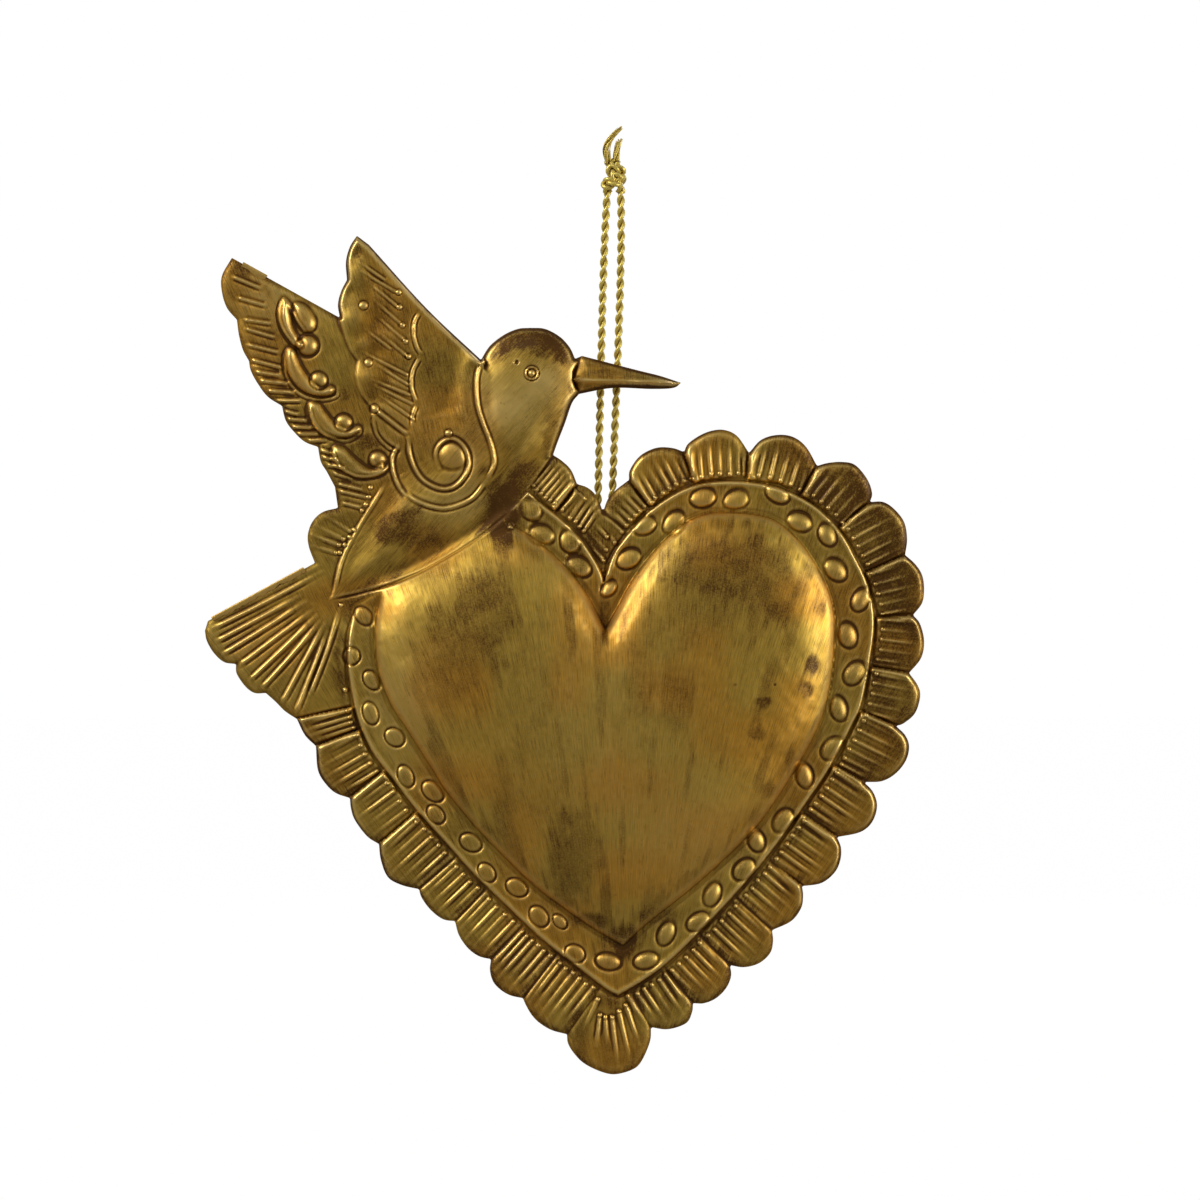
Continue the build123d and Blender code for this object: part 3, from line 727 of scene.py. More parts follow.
farWing = {
    # comma-shaped puffs as (rise, outline), the fine line outside each, and the balls
    "puffs": [
        (1.5, [(284, 298), (280, 307), (279, 318), (282, 330), (288, 340), (297, 349), (304, 346),
               (298, 336), (293, 325), (291, 313), (290, 303)]),
        (1.1, [(295, 304), (294, 314), (298, 324), (306, 332), (314, 330), (316, 321), (311, 311),
               (303, 304)]),
        (1.5, [(288, 348), (284, 358), (286, 371), (293, 383), (304, 392), (318, 397), (331, 396),
               (335, 390), (331, 386), (321, 388), (311, 379), (303, 368), (298, 357), (295, 349)]),
        (1.3, [(311, 401), (307, 409), (309, 420), (315, 430), (327, 437), (341, 439), (355, 437),
               (361, 430), (358, 426), (347, 429), (335, 422), (326, 412), (319, 403)]),
        (1.3, [(334, 446), (331, 455), (335, 467), (345, 475), (358, 479), (373, 478), (384, 474),
               (387, 467), (382, 464), (372, 469), (360, 462), (351, 454), (343, 447)]),
    ],
    "lines": [
        [(282, 299), (279, 312), (281, 325), (289, 338), (297, 347)], [(289, 304), (297, 320), (306, 333)],
        [(284, 357), (287, 376), (299, 393), (318, 400), (336, 397), (338, 388)],
        [(310, 403), (314, 421), (326, 435), (346, 441), (360, 434), (360, 426)],
        [(332, 447), (340, 466), (356, 476), (374, 476), (387, 469), (386, 460)],
    ],
    "balls": [(308, 346, 10, 1.5), (344, 423, 8, 0.9), (378, 460, 8, 1.0), (319, 381, 8, 0.8)],
    "flutes": [
        [(233, 277), (262, 289)], [(238, 298), (266, 306)], [(245, 320), (272, 324)],
        [(246, 329), (276, 338)], [(248, 345), (280, 353)], [(251, 360), (282, 368)],
        [(256, 372), (281, 376)], [(260, 381), (290, 384)], [(268, 391), (297, 393)],
        [(273, 401), (302, 401)], [(284, 411), (299, 415)], [(288, 419), (308, 421)],
        [(292, 427), (313, 428)], [(297, 434), (319, 434)], [(308, 441), (328, 440)],
        [(321, 450), (333, 454)], [(323, 457), (339, 461)], [(328, 465), (346, 469)],
        [(334, 473), (354, 480)], [(338, 484), (363, 490)], [(340, 491), (369, 498)],
        [(343, 503), (362, 508)],
    ],
    "field": 0.75,
}
tailRibs = [
    [(214, 628), (268, 601), (322, 572)], [(217, 641), (258, 619), (300, 596)],
    [(223, 654), (262, 630), (306, 602)], [(240, 665), (277, 637), (312, 611)],
    [(250, 680), (284, 648), (317, 616)], [(262, 688), (292, 655), (320, 622)],
    [(282, 703), (303, 664), (325, 624)], [(296, 712), (312, 672), (328, 632)],
    [(310, 694), (327, 650), (341, 606)],
]


def chaseFarWing(g):
    field = smooth((g.x - 250) / 80) * smooth((430 - g.x) / 60) * smooth((526 - g.y) / 24)
    g.h += farWing["field"] * field * smooth(g.edge / 26) * (g.band < -2)
    for high, outline in farWing["puffs"]:
        g.swelling(curveThrough(outline, closed=True, per=4), high, 7.5)
    g.chase(farWing["lines"], "farLine")
    for x, y, r, high in farWing["balls"]:
        g.boss(x, y, r, r, 0, high, moat=0.3, power=0.8)
    g.chase(farWing["flutes"], "farFlute")


nearWing = {
    "rise": 1.3,
    "climb": 1.7,  # it climbs to the bird's back
    "outline": chained([
        [(349, 247), (346, 262), (347, 280)],
        [(341, 292), (338, 307), (340, 322), (345, 337), (350, 350), (358, 361)],
        [(356, 377), (360, 392), (371, 407)], [(374, 424), (384, 440), (399, 450)],
        [(430, 456), (462, 432), (474, 408), (477, 385), (481, 362)], [(427, 309), (369, 245), (357, 236)],
    ]),
    "lines": [
        [(362, 272), (397, 293)], [(370, 284), (399, 308)], [(375, 301), (403, 326)],
        [(377, 316), (406, 342)], [(384, 337), (409, 358)], [(362, 352), (409, 376)],
        [(372, 380), (412, 396)], [(375, 386), (414, 405)], [(380, 396), (416, 421)],
        [(360, 263), (386, 281)], [(366, 330), (392, 350)], [(378, 366), (410, 386)],
    ],
    "strong": [(375, 409), (398, 427), (425, 447)],
    "scallops": [
        [(420, 313), (415, 322), (414, 335), (417, 347), (422, 355)],
        [(420, 358), (413, 372), (412, 388), (417, 403)],
        [(417, 405), (413, 417), (414, 431), (420, 442), (425, 449)],
        [(373, 421), (378, 436), (387, 446), (396, 452)],
    ],
    # soft rises and hollows as (x, y, half width, half height, rise)
    "puffs": [
        (360, 272, 10, 16, 0.9), (354, 318, 11, 13, 1.0), (350, 292, 7, 7, -0.4), (364, 344, 9, 8, 0.5),
        (368, 378, 11, 12, 0.9), (386, 412, 14, 10, 0.5), (357, 254, 5, 5, -0.4), (372, 400, 8, 6, -0.3),
        (400, 300, 14, 22, 0.5), (404, 360, 12, 26, 0.45), (440, 350, 16, 30, 0.4), (378, 294, 9, 12, 0.6),
        (388, 338, 14, 9, 0.5), (379, 320, 8, 8, -0.35), (396, 386, 12, 10, 0.5), (374, 352, 8, 7, -0.35),
    ],
}


def raiseNearWing(g):
    level = ornament["rimLevel"] + nearWing["rise"] + 0.9 * g.puff(np.where(g.body > 0, 30, g.wing)) ** 0.5
    level += nearWing["climb"] * smooth(1 + g.body / 30)
    onWing = np.where(g.body > -0.5, smooth((g.wing + 28) / 26), smooth((g.wing + 1.5) / 3.5))
    g.h = mixed(g.h, level, onWing)
    for x, y, a, b, high in nearWing["puffs"]:
        g.h += high * spotOn(g.x, g.y, x, y, a, b)
    g.chase(nearWing["lines"], "nearLine")
    g.chase([nearWing["strong"]], "nearStrong")
    g.chase(nearWing["scallops"], "nearScallop")


bird = {
    "rise": 4.6,
    "middle": (500, 450),
    "outline": chained([
        [(477, 385), (474, 408), (462, 432), (440, 452), (412, 470), (388, 484), (372, 506), (357, 530),
         (340, 563), (335, 585), (330, 600)],
        [(384, 587), (423, 571), (471, 543), (503, 518), (519, 503), (540, 474), (553, 455)],
        [(562, 432), (571, 408), (579, 394), (582, 375), (576, 358)],
        [(566, 342), (548, 331), (526, 329), (505, 335), (488, 348), (481, 362)],
    ]),
    "beakRise": 2.3,
    "beak": chained([
        [(574, 385), (573, 372), (582, 356)], [(636, 370), (660, 376), (681, 383)],
        [(673, 388), (651, 389), (613, 388), (579, 394)],
    ]),
    "beakRidge": [(566, 380), (600, 381), (640, 382), (681, 384)],
    "neck": [
        (481, 363), (477, 380), (478, 404), (483, 422), (490, 440), (494, 455), (494, 466), (487, 481),
    ],
    "leftLoop": [(399, 445), (393, 457), (393, 470), (399, 486), (410, 501)],
    "underLoop": [(486, 482), (472, 499), (450, 508), (433, 507), (415, 500), (404, 490)],
    "swirl": [
        (409, 438), (410, 454), (416, 470), (426, 482), (442, 489), (456, 486), (467, 473), (469, 458),
        (463, 445), (452, 439), (441, 444), (436, 455), (440, 469),
    ],
    "tailFoot": [(333, 599), (358, 594), (384, 587), (404, 579), (423, 571)],
    "belly": [(386, 483), (372, 506), (357, 530), (342, 560), (334, 592)],
    "swirlMiddle": (443, 458),
    "swirlBall": (453, 456, 15, 13),
    "eye": (532, 374),
    "dimple": (517, 363),
    # small blows of the punch round the bird and on its wings
    "punchMarks": [
        (341, 605, 2.2), (511, 526, 3.2), (346, 690, 2.6), (354, 530, 2.3), (350, 537, 2.3),
        (345, 545, 2.3), (340, 553, 2.3), (399, 293, 2.8), (400, 308, 2.8), (403, 326, 2.8),
        (406, 342, 2.8), (409, 357, 2.8), (364, 306, 4.2), (449, 434, 3.6), (371, 488, 2.3),
        (369, 497, 2.3), (366, 505, 2.3), (362, 511, 2.3), (375, 409, 4.0), (369, 363, 4.0),
    ],
}


def raiseBird(g):
    shape = g.pillow(closedLine(bird["outline"]), bird["middle"], g.body)
    rump = smooth((g.y - 405) / 60) * (1 - smooth(g.body / 32))  # flatter towards the tail
    lean = 1 - 0.45 * smooth((g.y - 425) / 90)
    low = 0.95 + bird["rise"] * shape**1.35 * (1 - 0.7 * rump) * lean
    free = (g.edge - np.maximum(g.body, 0) < 6) & (g.band < -4) & (g.wing < -4)
    g.h = mixed(g.h, np.where(free, low, softMax(low, g.h, 1.0)), smooth((g.body + 1.2) / 3.2))
    # the sheet runs on from belly to dome
    foot = bell(g.body, 0, 11) * smooth((g.dome + 34) / 28)
    g.h = mixed(g.h, g.blur(g.h, 9) + 0.7, foot)
    g.h -= 0.35 * bell(g.body, 0, 1.2) * smooth((g.dome + 14) / 10)
    g.chase([bird["tailFoot"]], "tailFoot")
    # the neck and the swirl's place are softer than the rest
    neck = smooth((20 - g.nearness(curveThrough(bird["neck"][1:]), 24)) / 12)
    g.h = mixed(g.h, g.blur(g.h, 12), neck)
    x, y = bird["swirlMiddle"]
    loop = smooth((50 - np.hypot(g.x - x, g.y - y)) / 10)
    g.h = mixed(g.h, g.blur(g.h, 13), loop)
    g.chase([bird["belly"]], "belly")


def foldBeak(g):
    beak = g.depth(closedLine(bird["beak"]), 30)
    fold = g.nearness(curveThrough(bird["beakRidge"]), 30)
    flank = np.clip(beak, 0, None) / (np.clip(beak, 0, None) + fold + 1e-6)
    high = ornament["rimLevel"] + bird["beakRise"] * flank * (1 + 0.5 * smooth((620 - g.x) / 50))
    g.h = mixed(g.h, high, smooth((beak + 0.8) / 1.8))


def chaseBird(g):
    g.boss(*bird["swirlBall"], 0, 1.0, moat=0.1, power=1.0)
    for line in ("neck", "leftLoop", "underLoop", "swirl"):
        g.chase([bird[line]], line)
    g.boss(*bird["eye"], 6.2, 6.2, 0, 0.0, ring=0.4, moat=0.3)
    g.boss(*bird["eye"], 3.6, 3.6, 0, 0.8, moat=0.25)
    g.boss(*bird["dimple"], 2.6, 2.6, 0, -0.35, moat=-0.1)
    for x, y, r in bird["punchMarks"]:
        g.boss(x, y, r, r, 0, 0.45, moat=0.25)


handWork = {
    # unevenness as (seed, px across, mm): waves and hammer facets, then dents on the dome and the bird
    "waves": [(5, 70, 0.5), (6, 17, 0.16), (7, 5, 0.05)],
    "dents": [(8, 24, 0.28), (9, 10, 0.1)],
}
antiquing = {
    # brown dirt marks, and painted shade under the beak and round the dome's tip, as (x, y, half width, half
    # height, strength)
    "smudgesAndShade": [
        (484, 618, 32, 50, 0.62), (455, 655, 34, 50, 0.5), (470, 606, 18, 14, 0.6), (730, 568, 64, 36, 0.6),
        (700, 600, 44, 50, 0.36), (774, 592, 30, 36, 0.6), (575, 850, 26, 44, 0.55),
        (640, 655, 16, 80, 0.3), (530, 690, 24, 60, 0.25), (600, 374, 22, 5, 0.55), (640, 378, 28, 4, 0.5),
        (398, 528, 26, 18, 1.0), (428, 536, 18, 12, 0.8), (372, 545, 10, 10, 0.5), (392, 504, 24, 18, 0.5),
        (505, 512, 24, 34, 0.95), (525, 482, 22, 26, 0.8), (552, 440, 10, 26, 0.6), (440, 372, 36, 26, 0.5),
        (460, 412, 14, 16, 0.5), (390, 338, 28, 28, 0.55), (380, 392, 20, 14, 0.6), (357, 253, 9, 6, 0.7),
        (250, 268, 24, 9, 0.6), (262, 330, 12, 34, 0.45), (300, 318, 8, 10, 0.5), (292, 380, 10, 12, 0.4),
        (344, 395, 12, 8, 0.6), (368, 442, 16, 9, 0.7), (350, 484, 20, 8, 0.6), (525, 338, 40, 12, 0.95),
        (548, 346, 30, 12, 0.7), (566, 352, 14, 18, 0.8), (500, 352, 14, 12, 0.5), (574, 388, 8, 14, 0.85),
        (623, 389, 52, 5, 0.95), (590, 364, 18, 4, 0.6), (550, 402, 14, 14, 0.35), (812, 664, 7, 12, 0.7),
        (806, 690, 6, 8, 0.6), (761, 701, 9, 6, 0.7), (753, 732, 8, 7, 0.65), (774, 684, 1.4, 1.4, 1.0),
        (734, 684, 1.2, 1.2, 1.0), (790, 762, 6, 14, 0.6), (770, 790, 10, 8, 0.5), (604, 606, 6, 24, 0.7),
        (623, 940, 18, 16, 0.85), (655, 915, 20, 9, 0.7), (590, 920, 20, 9, 0.7), (560, 900, 16, 8, 0.5),
        (690, 880, 14, 10, 0.5), (610, 505, 14, 14, 0.6), (560, 470, 18, 14, 0.5), (540, 520, 14, 24, 0.5),
        (575, 556, 14, 22, 0.55), (300, 600, 18, 12, 0.45), (325, 640, 14, 16, 0.5),
        (345, 700, 10, 26, 0.4), (700, 540, 22, 10, 0.35), (862, 560, 12, 20, 0.4), (640, 640, 30, 50, 0.2),
        (540, 760, 40, 60, 0.18),
    ],
    # painted highlights: brighter gilding where light falls on the face, neck, wings and dome, in the same
    # form
    "paintedHighlights": [
        (545, 384, 26, 20, 0.5), (512, 412, 30, 26, 0.45), (498, 396, 22, 24, 0.35),
        (440, 508, 60, 20, 0.25), (466, 470, 20, 40, 0.3), (268, 300, 30, 24, 0.35),
        (400, 700, 34, 70, 0.3), (600, 740, 90, 120, 0.14), (410, 420, 26, 30, 0.2),
        (330, 300, 26, 18, 0.2), (240, 640, 30, 24, 0.2), (690, 830, 60, 50, 0.16),
    ],
    # the brush went down the dome towards this place, and along the bird's body this way
    "brushTip": (622, 1180),
    "brushRound": 560,
    "birdWay": (0.755, 0.656),
}


def brushWays(g):
    tipX, tipY = antiquing["brushTip"]
    c, s = antiquing["birdWay"]
    onBird = smooth((g.body + 2) / 4)
    across = mixed(np.arctan2(g.x - tipX, tipY - g.y) * antiquing["brushRound"], c * g.x + s * g.y, onBird)
    along = mixed(g.y, c * g.y - s * g.x, onBird)
    return across, along


# painted highlights where light falls, streaked along the brush
def makePaintedHighlights(g, across, along):
    total = np.zeros(g.x.shape)
    strokes = 0.6 + 0.8 * patchwork(27, across / 4, along / 40)
    for x, y, a, b, strength in antiquing["paintedHighlights"]:
        win = g.window([(x, y)], max(a, b) * 2.4)
        total[win] += strength * spotOn(g.x[win], g.y[win], x, y, a, b)
    return total * strokes


# brown dirt marks and glaze, plus painted shade, as one mask
def makeSmudgesAndShade(g, across, along):
    total = np.zeros(g.x.shape)
    ragged = 0.4 * patchwork(21, across / 9, along / 34) + 0.35 * patchwork(22, across / 3, along / 18)
    ragged += 0.25 * g.cloud(23, 14)
    for x, y, a, b, strength in antiquing["smudgesAndShade"]:
        win = g.window([(x, y)], max(a, b) * 2.2)
        r = np.hypot((g.x[win] - x) / a, (g.y[win] - y) / b)
        total[win] = np.maximum(total[win], strength * smooth(1.7 - r * (0.4 + 1.5 * ragged[win])))
    onRim, onDome = smooth(-g.band / 4), smooth(g.dome / 5)
    lee = smooth((g.x - 700) / 150) * smooth((860 - g.y) / 160)  # the right side kept most of its glaze
    wingTop = smooth((446 - g.y - 0.27 * (g.x - 424)) / 12) * (g.x > 400) * (g.x < 482)
    layers = [
        # towards the rim's cut edge, round the band's foot and all over the lee side
        onRim * smooth(1.2 - g.edge / 9) * smooth(ragged * 2.4 - 0.5) * 0.7,
        onRim * smooth(1.3 + g.band / 22) * smooth(ragged * 2.6 - 0.6) * 0.75,
        onRim * (0.3 + 0.5 * lee) * smooth(ragged * 2.2 - 0.4 + lee),
        onRim * 0.45 * smooth(patchwork(26, across / 26, along / 30) * 2.6 - 0.8),
        # between the beads and in the groove round the dome, and painted shade at the low end of each petal
        0.35 * smooth(g.band / 4) * smooth(1 - g.dome / 4) * smooth(ragged * 2.6 - 0.7 + 0.5 * lee),
        bell(g.dome, 0, 2.0) * 0.3 * smooth(ragged * 2),
        0.8 * g.low * smooth(ragged * 2.4 - 0.3),
        # streaks down the dome and a darker ring at its shoulder
        onDome * 0.42 * smooth(patchwork(24, across / 13, along / 70) * 3.4 - 1.9),
        onDome * 0.5 * smooth(1.5 - g.dome / 16) * smooth(patchwork(25, across / 7, along / 22) * 3.2 - 1.6),
        # the top of the near wing
        0.42 * (wingTop * (g.band < 0) * (g.edge > 0)) * (0.6 + 0.6 * ragged),
    ]
    return np.clip(np.maximum.reduce([total, *layers]), 0, 1)


def workByHand(g):
    g.h += smooth(g.edge / 10) * g.unevenness(handWork["waves"])
    level = relief["edgeLevel"]
    g.h = level + (g.h - level) * smooth(0.04 + g.edge / relief["edgeRun"])
    dents = smooth((g.x - 740) / 60) * smooth(g.dome / 14) + 0.5 * smooth((g.body - 4) / 12)
    g.h += dents * g.unevenness(handWork["dents"])
    g.h = np.clip(g.h, relief["lowest"], relief["highest"])


def markSheet(g):
    # glaze stays in what is lower than its surroundings, and what stands proud is rubbed bright; painted
    # highlights and painted shade are added on top
    fine = g.h - g.blur(g.h, 2.4)
    broad = g.h - g.blur(g.h, 7)
    across, along = brushWays(g)
    recess = np.clip(-fine / 0.12, 0, 1) * 0.85 + np.clip(-broad / 0.45, 0, 1) * 0.35
    g.marks = {
        "recess": recess * (1 - 0.65 * bell(g.dome, 0, 7)) * (1 - 0.35 * bell(g.band, -2, 5)),
        # rubbed ridges plus painted highlights
        "wear": np.clip(fine / 0.26 + makePaintedHighlights(g, across, along), 0, 1),
        "smudge": makeSmudgesAndShade(g, across, along),
        "green": smooth(g.cloud(11, 46) * 1.9 - 0.35),
        "strokeAcross": across,
        "strokeAlong": along,
    }


def makeRelief(step, front):
    g = Grid(step)
    bandCurve = closedLine(heart["bandLine"])
    g.edge = g.depth(closedLine(rim["outline"]), 40)
    g.band = g.depth(bandCurve, 40)
    g.dome = g.depth(closedLine(heart["domeLine"]), 60)
    g.body = g.depth(closedLine(bird["outline"]), 30)
    g.wing = g.depth(closedLine(nearWing["outline"]), 30)
    g.h += rim["swell"] * smooth(g.edge / 8) * smooth(-g.band / 6)
    petals = rimPetals(np.vstack([bandCurve, bandCurve[:1]]))
    tiltPetals(g, petals)
    raiseHeart(g)
    chaseFarWing(g)
    g.chase(tailRibs, "tailRib")
    chaseRim(g, petals)
    if front:
        punchBeads(g)
    raiseNearWing(g)
    raiseBird(g)
    foldBeak(g)
    chaseBird(g)
    workByHand(g)
    markSheet(g)
    return g


def lowered(field, reach):
    out = field.copy()
    for axis in (0, 1):
        base = out.copy()
        for shift in range(-reach, reach + 1):
            out = np.minimum(out, np.roll(base, shift, axis=axis))
    return out


def sheetMesh(name, g, side, material):
    # side is -1 for the sheet in front of the seam, +1 for the one behind it
    sdf, x, y = g.edge.copy(), g.x.copy(), g.y.copy()
    gy, gx = np.gradient(sdf, g.step)
    size = np.maximum(gx * gx + gy * gy, 0.25)
    close = np.abs(sdf) < 0.34 * g.step
    for place, slope in ((x, gx), (y, gy)):
        place[close] -= np.clip(sdf * slope / size, -0.4 * g.step, 0.4 * g.step)[close]
    sdf[close] = 0
    keep = sdf >= 0
    index = np.full(sdf.shape, -1)
    index[keep] = np.arange(keep.sum())
    names = list(g.marks)
    layers = [x, y, g.h] + [g.marks[n] for n in names]
    table = [list(row) for row in np.stack([layer[keep] for layer in layers], axis=1)]
    corners = keep[:-1, :-1].astype(int) + keep[:-1, 1:] + keep[1:, 1:] + keep[1:, :-1]
    rows, cols = np.nonzero(corners == 4)
    quad = [index[rows, cols], index[rows, cols + 1], index[rows + 1, cols + 1], index[rows + 1, cols]]
    faces = np.stack(quad, axis=1).tolist()
    cuts = {}

    def cutAt(a, b):
        key = (a, b) if a < b else (b, a)
        if key not in cuts:
            t = sdf[a] / (sdf[a] - sdf[b])
            table.append([float(layer[a] * (1 - t) + layer[b] * t) for layer in layers])
            cuts[key] = len(table) - 1
        return cuts[key]

    rows, cols = np.nonzero((corners > 0) & (corners < 4))
    for r, c in zip(rows.tolist(), cols.tolist()):
        ring = [(r, c), (r, c + 1), (r + 1, c + 1), (r + 1, c)]
        face = []
        for a, b in zip(ring, ring[1:] + ring[:1]):
            if keep[a]:
                face.append(int(index[a]))
            if keep[a] != keep[b] and sdf[a] != 0 and sdf[b] != 0:
                face.append(cutAt(a, b))
        if len(face) > 2:
            faces.append(face)
    edges = {}
    for face in faces:
        for a, b in zip(face, face[1:] + face[:1]):
            if (b, a) in edges:
                del edges[(b, a)]
            else:
                edges[(a, b)] = 1
    # the cut edge's wall, and a plainer inner face a sheet's thickness in
    used = sorted({a for edge in edges for a in edge})
    start = len(table)
    for a in used:
        row = list(table[a])
        row[2] = max(row[2] - ornament["sheet"], 0.1)
        row[3] = 1.0
        table.append(row)
    order = {a: number for number, a in enumerate(used)}
    for a, b in edges:
        faces.append([a, start + order[a], start + order[b], b])
    low = lowered(g.h, int(9 / g.step)) - ornament["sheet"] - 0.05
    gap = int(round(8.4 / g.step))
    sparse = [
        (g.x[r, c], g.y[r, c], max(low[r, c], 0.1))
        for r in range(0, g.x.shape[0], gap)
        for c in range(0, g.x.shape[1], gap)
        if g.edge[r, c] > 5
    ]
    spots = table[start:] + sparse
    flat = [Vector(spot[:2]) for spot in spots]
    made = delaunay_2d_cdt(flat, [(order[a], order[b]) for a, b in edges], [], 1, 1e-5)
    back = []
    for spot, sources in zip(made[0], made[3]):
        if sources and sources[0] < len(used):
            back.append(start + sources[0])
            continue
        high = spots[sources[0]][2] if sources else 0.1
        table.append([spot[0], spot[1], high, 1.0] + [0.0] * (len(names) - 1))
        back.append(len(table) - 1)
    for face in made[2]:
        ring = [back[v] for v in face]
        a, b, c = (table[v] for v in ring[:3])
        turn = (b[0] - a[0]) * (c[1] - a[1]) - (b[1] - a[1]) * (c[0] - a[0])
        faces.append(ring if turn < 0 else ring[::-1])
    data = np.array(table)
    points = np.stack([toX(data[:, 0]), ornament["seamY"] + side * data[:, 2] * mm, toZ(data[:, 1])], axis=1)
    if side < 0:
        faces = [face[::-1] for face in faces]
    marks = {mark: data[:, 3 + number] for number, mark in enumerate(names)}
    return buildMesh(name, points.tolist(), faces, marks, material, 58)


# Finishes
finishes = {
    "gilt": (0.67, 0.345, 0.036, 1),
    "giltGreen": (0.61, 0.39, 0.055, 1),
    # bright gilt for rubbed ridges and for painted highlights
    "worn": (0.90, 0.63, 0.20, 1),
    "glaze": (0.112, 0.046, 0.005, 1),
    "metal": 0.96,
    "coat": {"Coat Weight": 0.15, "Coat Roughness": 0.32, "Coat IOR": 1.8},
    "bumpHeight": 0.00005,
    # noises as (scale, detail, roughness), and what part of each is spread to what
    "patches": ((95.0, 5.0, 0.62), (0.36, 0.64, 0.62, 1.2)),
    "grain": ((2300.0, 3.0, 0.7), (0.38, 0.62, 0.75, 1.2)),
    "grit": ((900.0, 3.0, 0.6), (0.62, 0.74, 0.0, 0.7)),
    "roughness": (0, 1, 0.41, 0.62),
    "streaks": (0.36, 0.64, 0.58, 1.42),
    "dirtInStreaks": (0.36, 0.52, 0.34, 0.0),
    # the brush's hairs as (how many across a px, and down it, share)
    "hairs": [(1.7, 0.06, 0.75), (0.42, 0.02, 0.25)],
}


def makeGlazeGroup():
    # brown glaze that stays in the hollows and is rubbed off the high places; on the sheets the Smudge input
    # also carries painted shade and the Wear input painted highlights
    number, colour = "NodeSocketFloat", "NodeSocketColor"
    group, given, out = newGroup(
        "antiqueGlaze",
        [("Gilt", colour, (1, 1, 1, 1)), ("Worn", colour, (1, 1, 1, 1)), ("Glaze", colour, (0, 0, 0, 1))]
        + [("Recess", number, 0.0), ("Wear", number, 0.0), ("Smudge", number, 0.0), ("Speckle", number, 0.5)],
        [("Colour", colour), ("Roughness", number)],
    )
    socket = given.outputs
    place = addNode(group, "TexCoord").outputs["Object"]
    patchy, grainy, gritty = (
        spread(group, noiseOn(group, place, *finishes[kind][0]), *finishes[kind][1])
        for kind in ("patches", "grain", "grit")
    )
    recess = mathNode(group, "MULTIPLY", socket["Recess"], patchy)
    smudge = mathNode(group, "MULTIPLY", socket["Smudge"], patchy)
    smudge = mathNode(group, "MULTIPLY", smudge, grainy)
    # rubbed ridges and, on the sheets, painted highlights take the glaze off
    rubbed = mathNode(group, "MULTIPLY", socket["Wear"], 0.75)
    amount = mathNode(group, "MAXIMUM", recess, smudge)
    amount = mathNode(group, "SUBTRACT", amount, rubbed, clamp=True)
    dots = mathNode(group, "MULTIPLY", gritty, socket["Speckle"])
    amount = mathNode(group, "MAXIMUM", amount, dots, clamp=True)
    tone = mixColour(group, socket["Wear"], socket["Gilt"], socket["Worn"])
    feed(group, out.inputs["Colour"], mixColour(group, amount, tone, socket["Glaze"]))
    feed(group, out.inputs["Roughness"], spread(group, amount, *finishes["roughness"]))
    return group


def makeBrushGroup():
    # long fine scratches that run down the sheet
    number = "NodeSocketFloat"
    group, given, out = newGroup(
        "handBrushed",
        [("Across", number, 0.0), ("Along", number, 0.0), ("Fineness", number, 1.0), ("Depth", number, 1.0)],
        [("Streak", number), ("Height", number)],
    )
    socket = given.outputs
    layers = []
    for across, down, share in finishes["hairs"]:
        x = mathNode(group, "MULTIPLY", socket["Across"], across)
        y = mathNode(group, "MULTIPLY", socket["Along"], down)
        place = addNode(group, "CombineXYZ", {0: x, 1: y})
        hairs = noiseOn(group, place.outputs[0], socket["Fineness"], 3.0, 0.6)
        layers.append(mathNode(group, "MULTIPLY", hairs, share))
    both = mathNode(group, "ADD", *layers)
    feed(group, out.inputs["Streak"], both)
    feed(group, out.inputs["Height"], mathNode(group, "MULTIPLY", both, socket["Depth"]))
    return group


glazeGroup = makeGlazeGroup()
brushGroup = makeBrushGroup()


def startMaterial(name, metallic):
    material = bpy.data.materials.new(name)
    material.use_nodes = True
    tree = material.node_tree
    shader = tree.nodes["Principled BSDF"]
    feed(tree, shader.inputs["Metallic"], metallic)
    return material, tree, shader


def mark(tree, name):
    return addNode(tree, "Attribute", attribute_name=name).outputs["Fac"]


def bumpOn(tree, shader, height, strength, distance):
    bump = addNode(tree, "Bump", {"Strength": strength, "Distance": distance, "Height": height})
    feed(tree, shader.inputs["Normal"], bump.outputs[0])


def glazeOn(tree, shader, values):
    glaze = addNode(tree, "Group", node_tree=glazeGroup)
    feedAll(tree, glaze, {"Glaze": finishes["glaze"], **values})
    feed(tree, shader.inputs["Base Color"], glaze.outputs["Colour"])
    feed(tree, shader.inputs["Roughness"], glaze.outputs["Roughness"])


